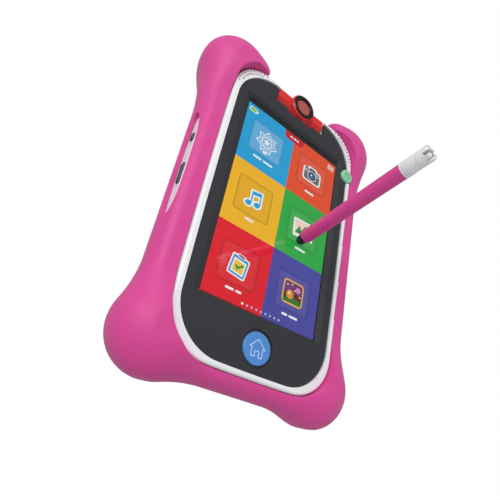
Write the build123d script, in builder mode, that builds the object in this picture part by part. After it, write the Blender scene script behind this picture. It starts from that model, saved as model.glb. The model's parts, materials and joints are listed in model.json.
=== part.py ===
"""Children's pocket touch-screen player in a soft bumper, with its stylus.

Frame: +X is the viewer's right, the screen faces -Y and +Z is up.
The origin is on the floor, midway between the two lower bumper knobs.
All lengths are millimetres.  Depths count backwards from the screen's image,
so a negative depth is in front of it.
"""
import os
from math import cos, radians, sin

from build123d import *

# ------------------------------------------------------- driving dimensions
# screen: 5-inch class, 480 x 800
IMAGE_WIDTH = 64.8
IMAGE_HEIGHT = 108.0

# upright outlines of the layers: half width, lowest, highest and corners
BEZEL_HALF_WIDTH = IMAGE_WIDTH / 2 + 8.5
BEZEL_LOW = -IMAGE_HEIGHT / 2 - 26.2
BEZEL_HIGH = IMAGE_HEIGHT / 2 + 21.4
BEZEL_CORNER = 23.2
FRAME_HALF_WIDTH = BEZEL_HALF_WIDTH + 3.1
FRAME_LOW = BEZEL_LOW - 2.4
FRAME_HIGH = BEZEL_HIGH + 1.9
FRAME_CORNER_LOW = 21.0
FRAME_CORNER_HIGH = 18.5
CASE_HALF_WIDTH = FRAME_HALF_WIDTH + 9.3
CASE_LOW = FRAME_LOW - 4.4
CASE_HIGH = FRAME_HIGH + 4.2
CASE_CORNER = 25.0
SIDE_BOW = 0.7

# depths of the layers
FRAME_FRONT = -2.2
BEZEL_FRONT = -1.6
GLASS_FRONT = -0.4
GLASS_THICKNESS = 0.8
SHOULDER = 1.5
FRONT_PLATE_BACK = 3.0
SPLIT = 7.9
REAR_PLATE_FRONT = 12.7
CASE_BACK = 14.5
WALL = 2.0
BOARD_FRONT = 8.6
BOARD_THICKNESS = 1.2
SHOULDER_ROUNDING = 1.2
FRAME_ROUNDING = 1.3
BACK_ROUNDING = 2.5

# glass, display and window, as margins round the image
GLASS_HALF_WIDTH = IMAGE_WIDTH / 2 + 5.0
GLASS_LOW = -IMAGE_HEIGHT / 2 - 4.4
GLASS_HIGH = IMAGE_HEIGHT / 2 + 6.4
GLASS_FIT = 0.6
DISPLAY_INSET = 1.4
DISPLAY_THICKNESS = 2.2
BACKPLATE_THICKNESS = 0.5
BACKPLATE_RIB = 0.3
WINDOW_HALF_WIDTH = IMAGE_WIDTH / 2 + 0.4
WINDOW_LOW = -IMAGE_HEIGHT / 2 - 0.4
WINDOW_HIGH = IMAGE_HEIGHT / 2 + 3.1
CHAMFER_SIDE = 2.9
CHAMFER_LOW = 1.2
CHAMFER_HIGH = 1.6

# soft bumper
WAIST_HALF_WIDTH = CASE_HALF_WIDTH + 2.2
WAIST_LOW = CASE_LOW - 2.5
WAIST_HIGH = CASE_HIGH + 6.0
WAIST_CORNER = 12.0
WAIST_FRONT = -0.5
WAIST_BACK = CASE_BACK + 4.9
WAIST_ROUNDING = 6.7
KNOB_X = WAIST_HALF_WIDTH - 14.0
KNOB_LOW_Z = WAIST_LOW + 15.4
KNOB_HIGH_Z = WAIST_HIGH - 14.3
KNOB_RADIUS = 19.6
KNOB_FRONT = -6.2
KNOB_BACK = WAIST_BACK + 12.1
KNOB_ROUNDING = 11.5
KNOB_STEP = 1.2
KNOB_BLEND_LOW = 60.0
KNOB_BLEND_HIGH = 120.0
FOOT_FLAT = 0.7
SLEEVE_GAP = 0.2
SLEEVE_BACK_INSET = 8.0
CAMERA_GAP_HALF = 26.0
SLOT_HALF_LENGTH = 30.0
SLOT_MIDDLE = 1.0
SLOT_FRONT = 1.5
SLOT_BACK = 9.2

# swivel camera
CAMERA_DEPTH = 5.0
CAMERA_Z = CASE_HIGH - 7.5
BARREL_APOTHEM = 6.2
BARREL_HALF_LENGTH = 16.9
POD_RADIUS = 8.0
POD_FRONT = 8.0
POD_BACK = 3.0
NOTCH_HALF_WIDTH = BARREL_HALF_LENGTH + 0.6
NOTCH_FLOOR = CAMERA_Z - BARREL_APOTHEM - 1.1
POD_NOTCH_HALF_WIDTH = POD_RADIUS + 0.6
POD_NOTCH_FLOOR = CAMERA_Z - POD_RADIUS - 1.2
CHEEK = 3.2
PIN_RADIUS = 1.5
PIN_DEPTH = 5.0
PIN_RUN_GAP = 0.05
RING_RADIUS = 7.3
LENS_RADIUS = 5.0

# front controls
RUN_GAP = 0.1
HOME_Z = -IMAGE_HEIGHT / 2 - 15.0
HOME_RADIUS = 7.3
HOME_FRONT = -2.0
HOME_TRAVEL = 0.6
HOME_FLANGE_THICKNESS = 1.0
HOME_DISH = 1.2
POWER_X = FRAME_HALF_WIDTH - 4.0
POWER_Z = IMAGE_HEIGHT / 2 - 3.5
POWER_RADIUS = 4.25
POWER_FRONT = -2.9
POWER_TRAVEL = 0.5
POWER_POCKET_GAP = 0.35
POWER_FLANGE_THICKNESS = 0.8
POWER_STEM_X = POWER_X + 1.5
POWER_STEM_RADIUS = 1.6
SWITCH_GAP = 0.1

# side controls and sockets
KEY_DEPTH = 4.5
KEY_WIDTH = 3.0
KEY_PROUD = 0.8
KEY_THICKNESS = 2.4
KEY_CORNER = 0.8
KEY_FIT = 0.2
ROCKER_FIT = 0.3
ROCKER_END_FIT = 0.5
ROCKER_Z = -5.2
ROCKER_LENGTH = 11.0
SIDE_KEY_Z = 16.0
SIDE_KEY_LENGTH = 4.0
KEY_TRAVEL = 0.5
JACK_RADIUS = 1.75
JACK_WALL = 0.65
JACK_LENGTH = 7.8
JACK_Z = 12.0
CHARGE_Z = -8.0
CHARGE_WIDTH = 3.6
CHARGE_HEIGHT = 9.0
CHARGE_DEPTH = 5.0
CHARGE_CORNER = 0.7
SOCKET_FIT = 0.05
SOCKET_DEPTH = 5.4

# perforations over the speakers, and the microphone hole
HOLE_ROWS = ((16.6, 4.0, 86.0), (14.9, 13.0, 74.0))
HOLE_COUNT = 11
HOLE_RADIUS = 0.36
MICROPHONE_X = FRAME_HALF_WIDTH - 8.0
MICROPHONE_Z = FRAME_LOW + 10.7
MICROPHONE_HOLE_RADIUS = 0.4
SPEAKER_X = FRAME_HALF_WIDTH - 7.0
SPEAKER_Z = FRAME_HIGH - 9.8
SPEAKER_RADIUS = 7.0

# screws: case screws and board screws
SCREW_X = CASE_HALF_WIDTH - 6.3
SCREW_PLACES = [(x, z) for x in (-SCREW_X, SCREW_X) for z in (CASE_LOW + 25.0, CASE_LOW + 55.0, CASE_HIGH - 23.5)]
POST_RADIUS = 3.0
THREAD_RADIUS = 1.0
THREAD_BLIND = 0.6
SHANK_RADIUS = 1.45
SHANK_FIT = 0.15
HEAD_RADIUS = 2.6
HEAD_FIT = 0.2
HEAD_THICKNESS = 1.3
HEAD_CROSS = 1.5
CROSS_HALF_WIDTH = 0.3
CROSS_DEPTH = 0.6

# board and battery
BOARD_HALF_WIDTH = CASE_HALF_WIDTH - 10.3
BOARD_LOW = CASE_LOW + 11.0
BOARD_HIGH = CASE_HIGH - 26.5
BOARD_CORNER = 6.0
BOARD_SCREWS = [(x, z) for x in (-BOARD_HALF_WIDTH + 7.0, BOARD_HALF_WIDTH - 7.0)
                for z in (BOARD_LOW + 12.0, BOARD_HIGH - 7.0)]
BOARD_SCREW_RADIUS = 1.2
BOARD_SCREW_HEAD = 2.2
CHIPS = [(-14.0, 20.0, 14.0, 14.0), (8.0, 22.0, 10.0, 12.0), (-16.0, -8.0, 9.0, 9.0),
         (14.0, -4.0, 12.0, 8.0), (-4.0, -34.0, 16.0, 6.0), (24.0, -40.0, 7.0, 7.0)]
CHIP_THICKNESS = 1.2
BATTERY_HALF_WIDTH = 30.0
BATTERY_LOW = -46.0
BATTERY_HIGH = 26.0
BATTERY_GAP = 0.4

# stylus
STYLUS_TOUCH_X = 13.3
STYLUS_TOUCH_Z = -7.9
STYLUS_DIRECTION = (-0.026, -0.986, 0.164)
STYLUS_RADIUS = 3.4
TIP_RADIUS = 2.5
TIP_LENGTH = 5.3
TIP_STANDOFF = 0.02
TANG_RADIUS = 1.4
TANG_LENGTH = 6.0
STYLUS_BARREL_LENGTH = 57.0
FERRULE_LENGTH = 3.4
FERRULE_GROOVE = 0.3
FERRULE_PROUD = 0.1
FERRULE_RINGS = 3
CAP_LENGTH = 9.2
CAP_GROOVE_START = 3.2
CAP_GROOVE_WIDTH = 0.6
CAP_NOTCH_WIDTH = 1.5
CAP_NOTCH_DEPTH = 2.4
CAP_NOTCH_PAIRS = 3
INSERT_RADIUS = 1.8
INSERT_GAP = 0.05
INSERT_ROUNDING = 0.5
STYLUS_END_ROUNDING = 0.7
INSERT_LENGTH = 2.2

# ---------------------------------------------------------------- the frame
SCREEN_Y = -8.0
SCREEN_Z = KNOB_RADIUS - KNOB_LOW_Z - FOOT_FLAT


# ------------------------------------------------------------------ helpers
def layer(depth):
    """Upright plane at a depth behind the image, facing the viewer."""
    return Plane(origin=(0, SCREEN_Y + depth, SCREEN_Z), x_dir=(1, 0, 0), z_dir=(0, -1, 0))


def side_plane(x, side):
    """Plane whose normal points out of the left (-1) or right (+1) side; local x is depth."""
    return Plane(origin=(x, SCREEN_Y, SCREEN_Z), x_dir=(0, side, 0), z_dir=(side, 0, 0))


def bowed_face(half_width, low, high, low_corner, high_corner, grow=0.0):
    """Upright rounded outline with slightly bowed sides, drawn in the open sketch."""
    wide = half_width + grow
    inner = wide - SIDE_BOW
    bottom = low - grow
    top = high + grow
    middle = (bottom + top) / 2
    with BuildLine() as rim:
        ThreePointArc((inner, bottom + SIDE_BOW), (wide, middle), (inner, top - SIDE_BOW))
        ThreePointArc((inner, top - SIDE_BOW), (0, top), (-inner, top - SIDE_BOW))
        ThreePointArc((-inner, top - SIDE_BOW), (-wide, middle), (-inner, bottom + SIDE_BOW))
        ThreePointArc((-inner, bottom + SIDE_BOW), (0, bottom), (inner, bottom + SIDE_BOW))
    make_face(rim.edges())
    fillet(vertices().group_by(Axis.Y)[0], radius=low_corner + grow)
    fillet(vertices().group_by(Axis.Y)[-1], radius=high_corner + grow)


def case_face(grow=0.0):
    """Outline of the main case."""
    bowed_face(CASE_HALF_WIDTH, CASE_LOW, CASE_HIGH, CASE_CORNER, CASE_CORNER, grow)


def frame_face(grow=0.0):
    """Outline of the raised white frame."""
    bowed_face(FRAME_HALF_WIDTH, FRAME_LOW, FRAME_HIGH, FRAME_CORNER_LOW, FRAME_CORNER_HIGH, grow)


def bezel_face(grow=0.0):
    """Outline of the dark bezel panel."""
    bowed_face(BEZEL_HALF_WIDTH, BEZEL_LOW, BEZEL_HIGH, BEZEL_CORNER, BEZEL_CORNER, grow)


def block(x_range, z_range, depth_range, mode=Mode.ADD):
    """Upright block given by its X, Z and depth ranges, in the open part."""
    with BuildSketch(layer(depth_range[1])) as profile:
        with Locations(((x_range[0] + x_range[1]) / 2, (z_range[0] + z_range[1]) / 2)):
            Rectangle(x_range[1] - x_range[0], z_range[1] - z_range[0])
    extrude(profile.sketch, amount=depth_range[1] - depth_range[0], mode=mode)


def disc(x, z, radius, depth_range, mode=Mode.ADD):
    """Round slab facing the viewer, in the open part."""
    with BuildSketch(layer(depth_range[1])) as profile:
        with Locations((x, z)):
            Circle(radius)
    extrude(profile.sketch, amount=depth_range[1] - depth_range[0], mode=mode)


def side_prism(side, z, size, depth, x_range, radius, mode=Mode.ADD):
    """Rounded bar through a side wall; size is (depth, height)."""
    with BuildSketch(side_plane(side * x_range[0], side)) as profile:
        with Locations((side * depth, z)):
            RectangleRounded(size[0], size[1], radius)
    extrude(profile.sketch, amount=x_range[1] - x_range[0], mode=mode)


def camera_notch(depth_range):
    """Opening for the swivel camera, in the open part."""
    block((-NOTCH_HALF_WIDTH, NOTCH_HALF_WIDTH), (NOTCH_FLOOR, CASE_HIGH + 5), depth_range, Mode.SUBTRACT)
    block((-POD_NOTCH_HALF_WIDTH, POD_NOTCH_HALF_WIDTH), (POD_NOTCH_FLOOR, NOTCH_FLOOR + 1),
          depth_range, Mode.SUBTRACT)


def side_disc(z, radius, depth, x_range, mode=Mode.ADD):
    """Round bar through the right side wall."""
    with BuildSketch(side_plane(x_range[0], 1)) as profile:
        with Locations((depth, z)):
            Circle(radius)
    extrude(profile.sketch, amount=x_range[1] - x_range[0], mode=mode)


CRADLE_X = (-NOTCH_HALF_WIDTH - CHEEK, NOTCH_HALF_WIDTH + CHEEK)
CRADLE_Z = (POD_NOTCH_FLOOR - WALL - 0.2, CASE_HIGH - 1.0)
THROUGH_WALL = (CASE_HALF_WIDTH - WALL - 1.3, CASE_HALF_WIDTH + 1.7)

# ------------------------------------------------------------- front shell
with BuildPart() as front_shell:
    with BuildSketch(layer(SPLIT)):
        case_face()
    extrude(amount=SPLIT - SHOULDER)
    shoulder_rim = front_shell.faces().sort_by(Axis.Y)[0].edges()
    fillet(shoulder_rim, radius=SHOULDER_ROUNDING)
    with BuildSketch(layer(FRONT_PLATE_BACK)):
        frame_face()
    extrude(amount=FRONT_PLATE_BACK - FRAME_FRONT)
    frame_rim = front_shell.faces().sort_by(Axis.Y)[0].edges()
    fillet(frame_rim, radius=FRAME_ROUNDING)
    with BuildSketch(layer(SPLIT)):
        case_face(-WALL)
    extrude(amount=SPLIT - FRONT_PLATE_BACK, mode=Mode.SUBTRACT)
    with BuildSketch(layer(GLASS_FRONT)):
        bezel_face(RUN_GAP)
    extrude(amount=GLASS_FRONT - FRAME_FRONT, mode=Mode.SUBTRACT)
    block((-GLASS_HALF_WIDTH - GLASS_FIT, GLASS_HALF_WIDTH + GLASS_FIT),
          (GLASS_LOW - GLASS_FIT, GLASS_HIGH + GLASS_FIT),
          (GLASS_FRONT - 1, FRONT_PLATE_BACK), Mode.SUBTRACT)
    # cradle and cheeks that carry the swivel camera
    block(CRADLE_X, CRADLE_Z, (FRONT_PLATE_BACK, SPLIT))
    camera_notch((FRAME_FRONT - 1, SPLIT))
    with BuildSketch(Plane.YZ.offset(-NOTCH_HALF_WIDTH - CHEEK)):
        with Locations((SCREEN_Y + CAMERA_DEPTH, SCREEN_Z + CAMERA_Z)):
            Circle(PIN_RADIUS + PIN_RUN_GAP)
    extrude(amount=2 * (NOTCH_HALF_WIDTH + CHEEK), mode=Mode.SUBTRACT)
    # screw posts
    for screw_x, screw_z in SCREW_PLACES:
        disc(screw_x, screw_z, POST_RADIUS, (FRONT_PLATE_BACK, SPLIT))
        disc(screw_x, screw_z, THREAD_RADIUS, (FRONT_PLATE_BACK + THREAD_BLIND, SPLIT), Mode.SUBTRACT)
    # bores of the front controls
    disc(0, HOME_Z, HOME_RADIUS + RUN_GAP, (GLASS_FRONT, FRONT_PLATE_BACK), Mode.SUBTRACT)
    disc(POWER_X, POWER_Z, POWER_RADIUS + POWER_POCKET_GAP, (FRAME_FRONT, GLASS_FRONT), Mode.SUBTRACT)
    disc(POWER_STEM_X, POWER_Z, POWER_STEM_RADIUS + RUN_GAP, (GLASS_FRONT, FRONT_PLATE_BACK), Mode.SUBTRACT)
    # left side: openings of the rocker and the small key
    side_prism(-1, ROCKER_Z, (KEY_WIDTH + ROCKER_FIT, ROCKER_LENGTH + ROCKER_END_FIT), KEY_DEPTH,
               THROUGH_WALL, KEY_CORNER, Mode.SUBTRACT)
    side_prism(-1, SIDE_KEY_Z, (KEY_WIDTH + KEY_FIT, SIDE_KEY_LENGTH + KEY_FIT), KEY_DEPTH,
               THROUGH_WALL, KEY_CORNER, Mode.SUBTRACT)
    # right side: openings of the sockets
    side_disc(JACK_Z, JACK_RADIUS + JACK_WALL + SOCKET_FIT, SOCKET_DEPTH, THROUGH_WALL, Mode.SUBTRACT)
    side_prism(1, CHARGE_Z, (CHARGE_WIDTH + 2 * SOCKET_FIT, CHARGE_HEIGHT + 2 * SOCKET_FIT), SOCKET_DEPTH,
               THROUGH_WALL, CHARGE_CORNER + SOCKET_FIT, Mode.SUBTRACT)
    # speaker perforations round the upper corners of the frame, and the microphone hole
    for side in (-1, 1):
        for row_radius, first, last in HOLE_ROWS:
            for step in range(HOLE_COUNT):
                turn = radians(first + (last - first) * step / (HOLE_COUNT - 1))
                hole_x = FRAME_HALF_WIDTH - FRAME_CORNER_HIGH + row_radius * cos(turn)
                hole_z = FRAME_HIGH - FRAME_CORNER_HIGH + row_radius * sin(turn)
                disc(side * hole_x, hole_z, HOLE_RADIUS, (FRAME_FRONT - 1, FRONT_PLATE_BACK), Mode.SUBTRACT)
    disc(MICROPHONE_X, MICROPHONE_Z, MICROPHONE_HOLE_RADIUS, (FRAME_FRONT - 1, FRONT_PLATE_BACK),
         Mode.SUBTRACT)

# --------------------------------------------------------------- rear shell
with BuildPart() as rear_shell:
    with BuildSketch(layer(CASE_BACK)):
        case_face()
    extrude(amount=CASE_BACK - SPLIT)
    back_rim = rear_shell.faces().sort_by(Axis.Y)[-1].edges()
    fillet(back_rim, radius=BACK_ROUNDING)
    with BuildSketch(layer(REAR_PLATE_FRONT)):
        case_face(-WALL)
    extrude(amount=REAR_PLATE_FRONT - SPLIT, mode=Mode.SUBTRACT)
    block(CRADLE_X, CRADLE_Z, (SPLIT, REAR_PLATE_FRONT))
    camera_notch((SPLIT, CASE_BACK))
    for screw_x, screw_z in SCREW_PLACES:
        disc(screw_x, screw_z, POST_RADIUS, (SPLIT, REAR_PLATE_FRONT))
        disc(screw_x, screw_z, SHANK_RADIUS + SHANK_FIT, (SPLIT, CASE_BACK), Mode.SUBTRACT)
        disc(screw_x, screw_z, HEAD_RADIUS + HEAD_FIT, (REAR_PLATE_FRONT, CASE_BACK), Mode.SUBTRACT)

# -------------------------------------------------------------- case screws
HEAD_BACK = REAR_PLATE_FRONT + HEAD_THICKNESS

with BuildPart() as case_screws:
    for screw_x, screw_z in SCREW_PLACES:
        disc(screw_x, screw_z, HEAD_RADIUS, (REAR_PLATE_FRONT, HEAD_BACK))
        disc(screw_x, screw_z, SHANK_RADIUS, (SPLIT, REAR_PLATE_FRONT))
        disc(screw_x, screw_z, THREAD_RADIUS, (FRONT_PLATE_BACK + 2 * THREAD_BLIND, SPLIT))
        block((screw_x - HEAD_CROSS, screw_x + HEAD_CROSS), (screw_z - CROSS_HALF_WIDTH, screw_z + CROSS_HALF_WIDTH),
              (HEAD_BACK - CROSS_DEPTH, HEAD_BACK), Mode.SUBTRACT)
        block((screw_x - CROSS_HALF_WIDTH, screw_x + CROSS_HALF_WIDTH), (screw_z - HEAD_CROSS, screw_z + HEAD_CROSS),
              (HEAD_BACK - CROSS_DEPTH, HEAD_BACK), Mode.SUBTRACT)

# -------------------------------------------------------------- bezel panel
with BuildPart() as bezel_panel:
    with BuildSketch(layer(GLASS_FRONT)):
        bezel_face()
    extrude(amount=GLASS_FRONT - BEZEL_FRONT)
    bezel_rim = bezel_panel.faces().sort_by(Axis.Y)[0].edges()
    chamfer(bezel_rim, length=0.4)
    with BuildSketch(layer(GLASS_FRONT)):
        with Locations((0, (WINDOW_LOW + WINDOW_HIGH) / 2)):
            RectangleRounded(2 * WINDOW_HALF_WIDTH, WINDOW_HIGH - WINDOW_LOW, 0.6)
    with BuildSketch(layer(BEZEL_FRONT)):
        with Locations((0, (WINDOW_LOW - CHAMFER_LOW + WINDOW_HIGH + CHAMFER_HIGH) / 2)):
            RectangleRounded(2 * (WINDOW_HALF_WIDTH + CHAMFER_SIDE),
                             WINDOW_HIGH + CHAMFER_HIGH - WINDOW_LOW + CHAMFER_LOW, 3.0)
    loft(mode=Mode.SUBTRACT)
    camera_notch((BEZEL_FRONT - 1, GLASS_FRONT))
    disc(0, HOME_Z, HOME_RADIUS + RUN_GAP, (BEZEL_FRONT, GLASS_FRONT), Mode.SUBTRACT)
    disc(0, HOME_Z, HOME_RADIUS + HOME_DISH, (BEZEL_FRONT, BEZEL_FRONT + 0.6), Mode.SUBTRACT)
    disc(POWER_X, POWER_Z, POWER_RADIUS + POWER_POCKET_GAP, (BEZEL_FRONT, GLASS_FRONT), Mode.SUBTRACT)

# ------------------------------------------------------- screen and its stack
GLASS_BACK = GLASS_FRONT + GLASS_THICKNESS
DISPLAY_BACK = GLASS_BACK + DISPLAY_THICKNESS
BACKPLATE_BACK = DISPLAY_BACK + BACKPLATE_THICKNESS

with BuildPart() as touch_glass:
    block((-GLASS_HALF_WIDTH, GLASS_HALF_WIDTH), (GLASS_LOW, GLASS_HIGH), (GLASS_FRONT, GLASS_BACK))
    fillet(touch_glass.edges().filter_by(Axis.Y), radius=1.5)

with BuildPart() as display_panel:
    block((DISPLAY_INSET - GLASS_HALF_WIDTH, GLASS_HALF_WIDTH - DISPLAY_INSET),
          (GLASS_LOW + DISPLAY_INSET, GLASS_HIGH - DISPLAY_INSET), (GLASS_BACK, DISPLAY_BACK))
    fillet(display_panel.edges().filter_by(Axis.Y), radius=1.0)

with BuildPart() as display_backplate:
    block((-GLASS_HALF_WIDTH + 0.2, GLASS_HALF_WIDTH - 0.2), (GLASS_LOW + 0.2, GLASS_HIGH - 0.2),
          (DISPLAY_BACK, BACKPLATE_BACK))
    for rib_z in (-50.0, -25.0, 0.0, 25.0, 50.0):
        block((-BATTERY_HALF_WIDTH, BATTERY_HALF_WIDTH), (rib_z - 0.8, rib_z + 0.8),
              (BACKPLATE_BACK, BACKPLATE_BACK + BACKPLATE_RIB))

BOARD_BACK = BOARD_FRONT + BOARD_THICKNESS

with BuildPart() as main_board:
    block((-BOARD_HALF_WIDTH, BOARD_HALF_WIDTH), (BOARD_LOW, BOARD_HIGH), (BOARD_FRONT, BOARD_BACK))
    fillet(main_board.edges().filter_by(Axis.Y), radius=BOARD_CORNER)
    for screw_x, screw_z in BOARD_SCREWS:
        disc(screw_x, screw_z, BOARD_SCREW_RADIUS, (BOARD_FRONT, BOARD_BACK), Mode.SUBTRACT)

with BuildPart() as board_chips:
    for chip_x, chip_z, chip_width, chip_height in CHIPS:
        block((chip_x - chip_width / 2, chip_x + chip_width / 2),
              (chip_z - chip_height / 2, chip_z + chip_height / 2),
              (BOARD_BACK, BOARD_BACK + CHIP_THICKNESS))

with BuildPart() as board_screws:
    for screw_x, screw_z in BOARD_SCREWS:
        disc(screw_x, screw_z, BOARD_SCREW_RADIUS, (BOARD_FRONT - 3.0, BOARD_BACK))
        disc(screw_x, screw_z, BOARD_SCREW_HEAD, (BOARD_BACK, BOARD_BACK + 1.0))

with BuildPart() as battery_pack:
    block((-BATTERY_HALF_WIDTH, BATTERY_HALF_WIDTH), (BATTERY_LOW, BATTERY_HIGH),
          (BACKPLATE_BACK + BACKPLATE_RIB + BATTERY_GAP, BOARD_FRONT - BATTERY_GAP))
    fillet(battery_pack.edges().filter_by(Axis.Y), radius=2.0)

with BuildPart() as speakers:
    for side in (-1, 1):
        disc(side * SPEAKER_X, SPEAKER_Z, SPEAKER_RADIUS, (FRONT_PLATE_BACK, FRONT_PLATE_BACK + 1.2))
        disc(side * SPEAKER_X, SPEAKER_Z, SPEAKER_RADIUS - 1.8, (FRONT_PLATE_BACK + 1.2, FRONT_PLATE_BACK + 3.6))

with BuildPart() as microphone:
    disc(MICROPHONE_X, MICROPHONE_Z, MICROPHONE_HOLE_RADIUS + 1.6, (FRONT_PLATE_BACK, FRONT_PLATE_BACK + 1.6))

# -------------------------------------------------------------- home button
HOME_FLANGE = FRONT_PLATE_BACK + 0.05
HOME_SWITCH_FRONT = HOME_FLANGE + HOME_FLANGE_THICKNESS + HOME_TRAVEL + SWITCH_GAP


def house_face():
    """House sign drawn in the open sketch: roof, walls and a door opening."""
    roof_z = HOME_Z + 4.3
    with BuildLine() as rim:
        Polyline((-4.5, HOME_Z + 0.1), (0, roof_z), (4.5, HOME_Z + 0.1), (3.1, HOME_Z + 0.1),
                 (3.1, HOME_Z - 3.9), (0.9, HOME_Z - 3.9), (0.9, HOME_Z - 1.3), (-0.9, HOME_Z - 1.3),
                 (-0.9, HOME_Z - 3.9), (-3.1, HOME_Z - 3.9), (-3.1, HOME_Z + 0.1), close=True)
    make_face(rim.edges())


with BuildPart() as home_symbol:
    with BuildSketch(layer(HOME_FRONT + 0.25)):
        house_face()
        offset(amount=-0.35, mode=Mode.SUBTRACT)
    extrude(amount=0.25)

with BuildPart() as home_button:
    disc(0, HOME_Z, HOME_RADIUS, (HOME_FRONT, HOME_FLANGE))
    fillet(home_button.faces().sort_by(Axis.Y)[0].edges(), radius=0.5)
    disc(0, HOME_Z, HOME_RADIUS + 1.1, (HOME_FLANGE, HOME_FLANGE + HOME_FLANGE_THICKNESS))
    add(home_symbol.part, mode=Mode.SUBTRACT)

with BuildPart() as home_switch:
    block((-3.0, 3.0), (HOME_Z - 3.0, HOME_Z + 3.0), (HOME_SWITCH_FRONT + 0.8, BOARD_FRONT))
    disc(0, HOME_Z, 1.4, (HOME_SWITCH_FRONT, HOME_SWITCH_FRONT + 0.8))

# ------------------------------------------------------------- power button
POWER_FLANGE = FRONT_PLATE_BACK + 0.05
POWER_SWITCH_FRONT = POWER_FLANGE + POWER_FLANGE_THICKNESS + POWER_TRAVEL + SWITCH_GAP
POWER_HEAD_BACK = GLASS_FRONT - POWER_TRAVEL - RUN_GAP

with BuildPart() as power_symbol:
    with BuildSketch(layer(POWER_FRONT + 0.2)):
        with Locations((POWER_X, POWER_Z)):
            Circle(2.1)
            Circle(1.65, mode=Mode.SUBTRACT)
        with Locations((POWER_X, POWER_Z + 1.9)):
            Rectangle(1.3, 1.6, mode=Mode.SUBTRACT)
        with Locations((POWER_X, POWER_Z + 1.3)):
            Rectangle(0.5, 2.0)
    extrude(amount=0.2)

with BuildPart() as power_button:
    disc(POWER_X, POWER_Z, POWER_RADIUS, (POWER_FRONT, POWER_HEAD_BACK))
    fillet(power_button.faces().sort_by(Axis.Y)[0].edges(), radius=0.6)
    disc(POWER_STEM_X, POWER_Z, POWER_STEM_RADIUS, (POWER_HEAD_BACK, POWER_FLANGE))
    disc(POWER_STEM_X, POWER_Z, POWER_STEM_RADIUS + 1.0, (POWER_FLANGE, POWER_FLANGE + POWER_FLANGE_THICKNESS))
    add(power_symbol.part, mode=Mode.SUBTRACT)

with BuildPart() as power_switch:
    block((POWER_STEM_X - 2.5, POWER_STEM_X + 1.5), (POWER_Z - 2.5, POWER_Z + 2.5),
          (POWER_SWITCH_FRONT + 0.7, BOARD_FRONT))
    disc(POWER_STEM_X, POWER_Z, 1.0, (POWER_SWITCH_FRONT, POWER_SWITCH_FRONT + 0.7))

# -------------------------------------------------------------- side keys
KEY_OUTER = CASE_HALF_WIDTH + KEY_PROUD
KEY_INNER = KEY_OUTER - KEY_THICKNESS

with BuildPart() as volume_rocker:
    side_prism(-1, ROCKER_Z, (KEY_WIDTH, ROCKER_LENGTH), KEY_DEPTH, (KEY_INNER, KEY_OUTER), KEY_CORNER)
    fillet(volume_rocker.faces().sort_by(Axis.X)[0].edges(), radius=0.3)
    for nub in (-1, 1):
        side_prism(-1, ROCKER_Z + nub * 3.6, (1.6, 1.6), KEY_DEPTH, (KEY_OUTER - 0.1, KEY_OUTER + 0.25), 0.6)

with BuildPart() as side_key:
    side_prism(-1, SIDE_KEY_Z, (KEY_WIDTH, SIDE_KEY_LENGTH), KEY_DEPTH, (KEY_INNER, KEY_OUTER), KEY_CORNER)
    fillet(side_key.faces().sort_by(Axis.X)[0].edges(), radius=0.3)

SIDE_SWITCH_OUTER = KEY_INNER - KEY_TRAVEL - SWITCH_GAP

with BuildPart() as side_key_switches:
    for switch_z in (ROCKER_Z - 4.0, ROCKER_Z + 4.0, SIDE_KEY_Z):
        side_prism(-1, switch_z, (2.6, 2.6), KEY_DEPTH, (SIDE_SWITCH_OUTER - 1.0, SIDE_SWITCH_OUTER), 0.4)

with BuildPart() as side_key_board:
    side_prism(-1, (ROCKER_Z + SIDE_KEY_Z) / 2, (4.2, 32.0), 5.4,
               (SIDE_SWITCH_OUTER - 1.8, SIDE_SWITCH_OUTER - 1.0), 0.6)

# ------------------------------------------------------------------ sockets
SOCKET_FACE = CASE_HALF_WIDTH - 0.2

with BuildPart() as earphone_socket:
    side_disc(JACK_Z, JACK_RADIUS + JACK_WALL, SOCKET_DEPTH, (SOCKET_FACE - JACK_LENGTH - 1.0, SOCKET_FACE))
    side_disc(JACK_Z, JACK_RADIUS, SOCKET_DEPTH, (SOCKET_FACE - JACK_LENGTH, SOCKET_FACE), Mode.SUBTRACT)

with BuildPart() as charging_socket:
    side_prism(1, CHARGE_Z, (CHARGE_WIDTH, CHARGE_HEIGHT), SOCKET_DEPTH,
               (SOCKET_FACE - CHARGE_DEPTH - 0.8, SOCKET_FACE), CHARGE_CORNER)
    side_prism(1, CHARGE_Z, (CHARGE_WIDTH - 1.2, CHARGE_HEIGHT - 1.4), SOCKET_DEPTH,
               (SOCKET_FACE - CHARGE_DEPTH, SOCKET_FACE), CHARGE_CORNER - 0.2, Mode.SUBTRACT)
    side_prism(1, CHARGE_Z, (0.7, CHARGE_HEIGHT - 4.0), SOCKET_DEPTH,
               (SOCKET_FACE - CHARGE_DEPTH, SOCKET_FACE - 1.0), 0.2)

# ------------------------------------------------------------ swivel camera
CAMERA_Y = SCREEN_Y + CAMERA_DEPTH
CAMERA_HEIGHT = SCREEN_Z + CAMERA_Z
POD_FACE = CAMERA_DEPTH - POD_FRONT
across = Plane(origin=(0, CAMERA_Y, CAMERA_HEIGHT), x_dir=(0, 1, 0), z_dir=(1, 0, 0))

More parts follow.
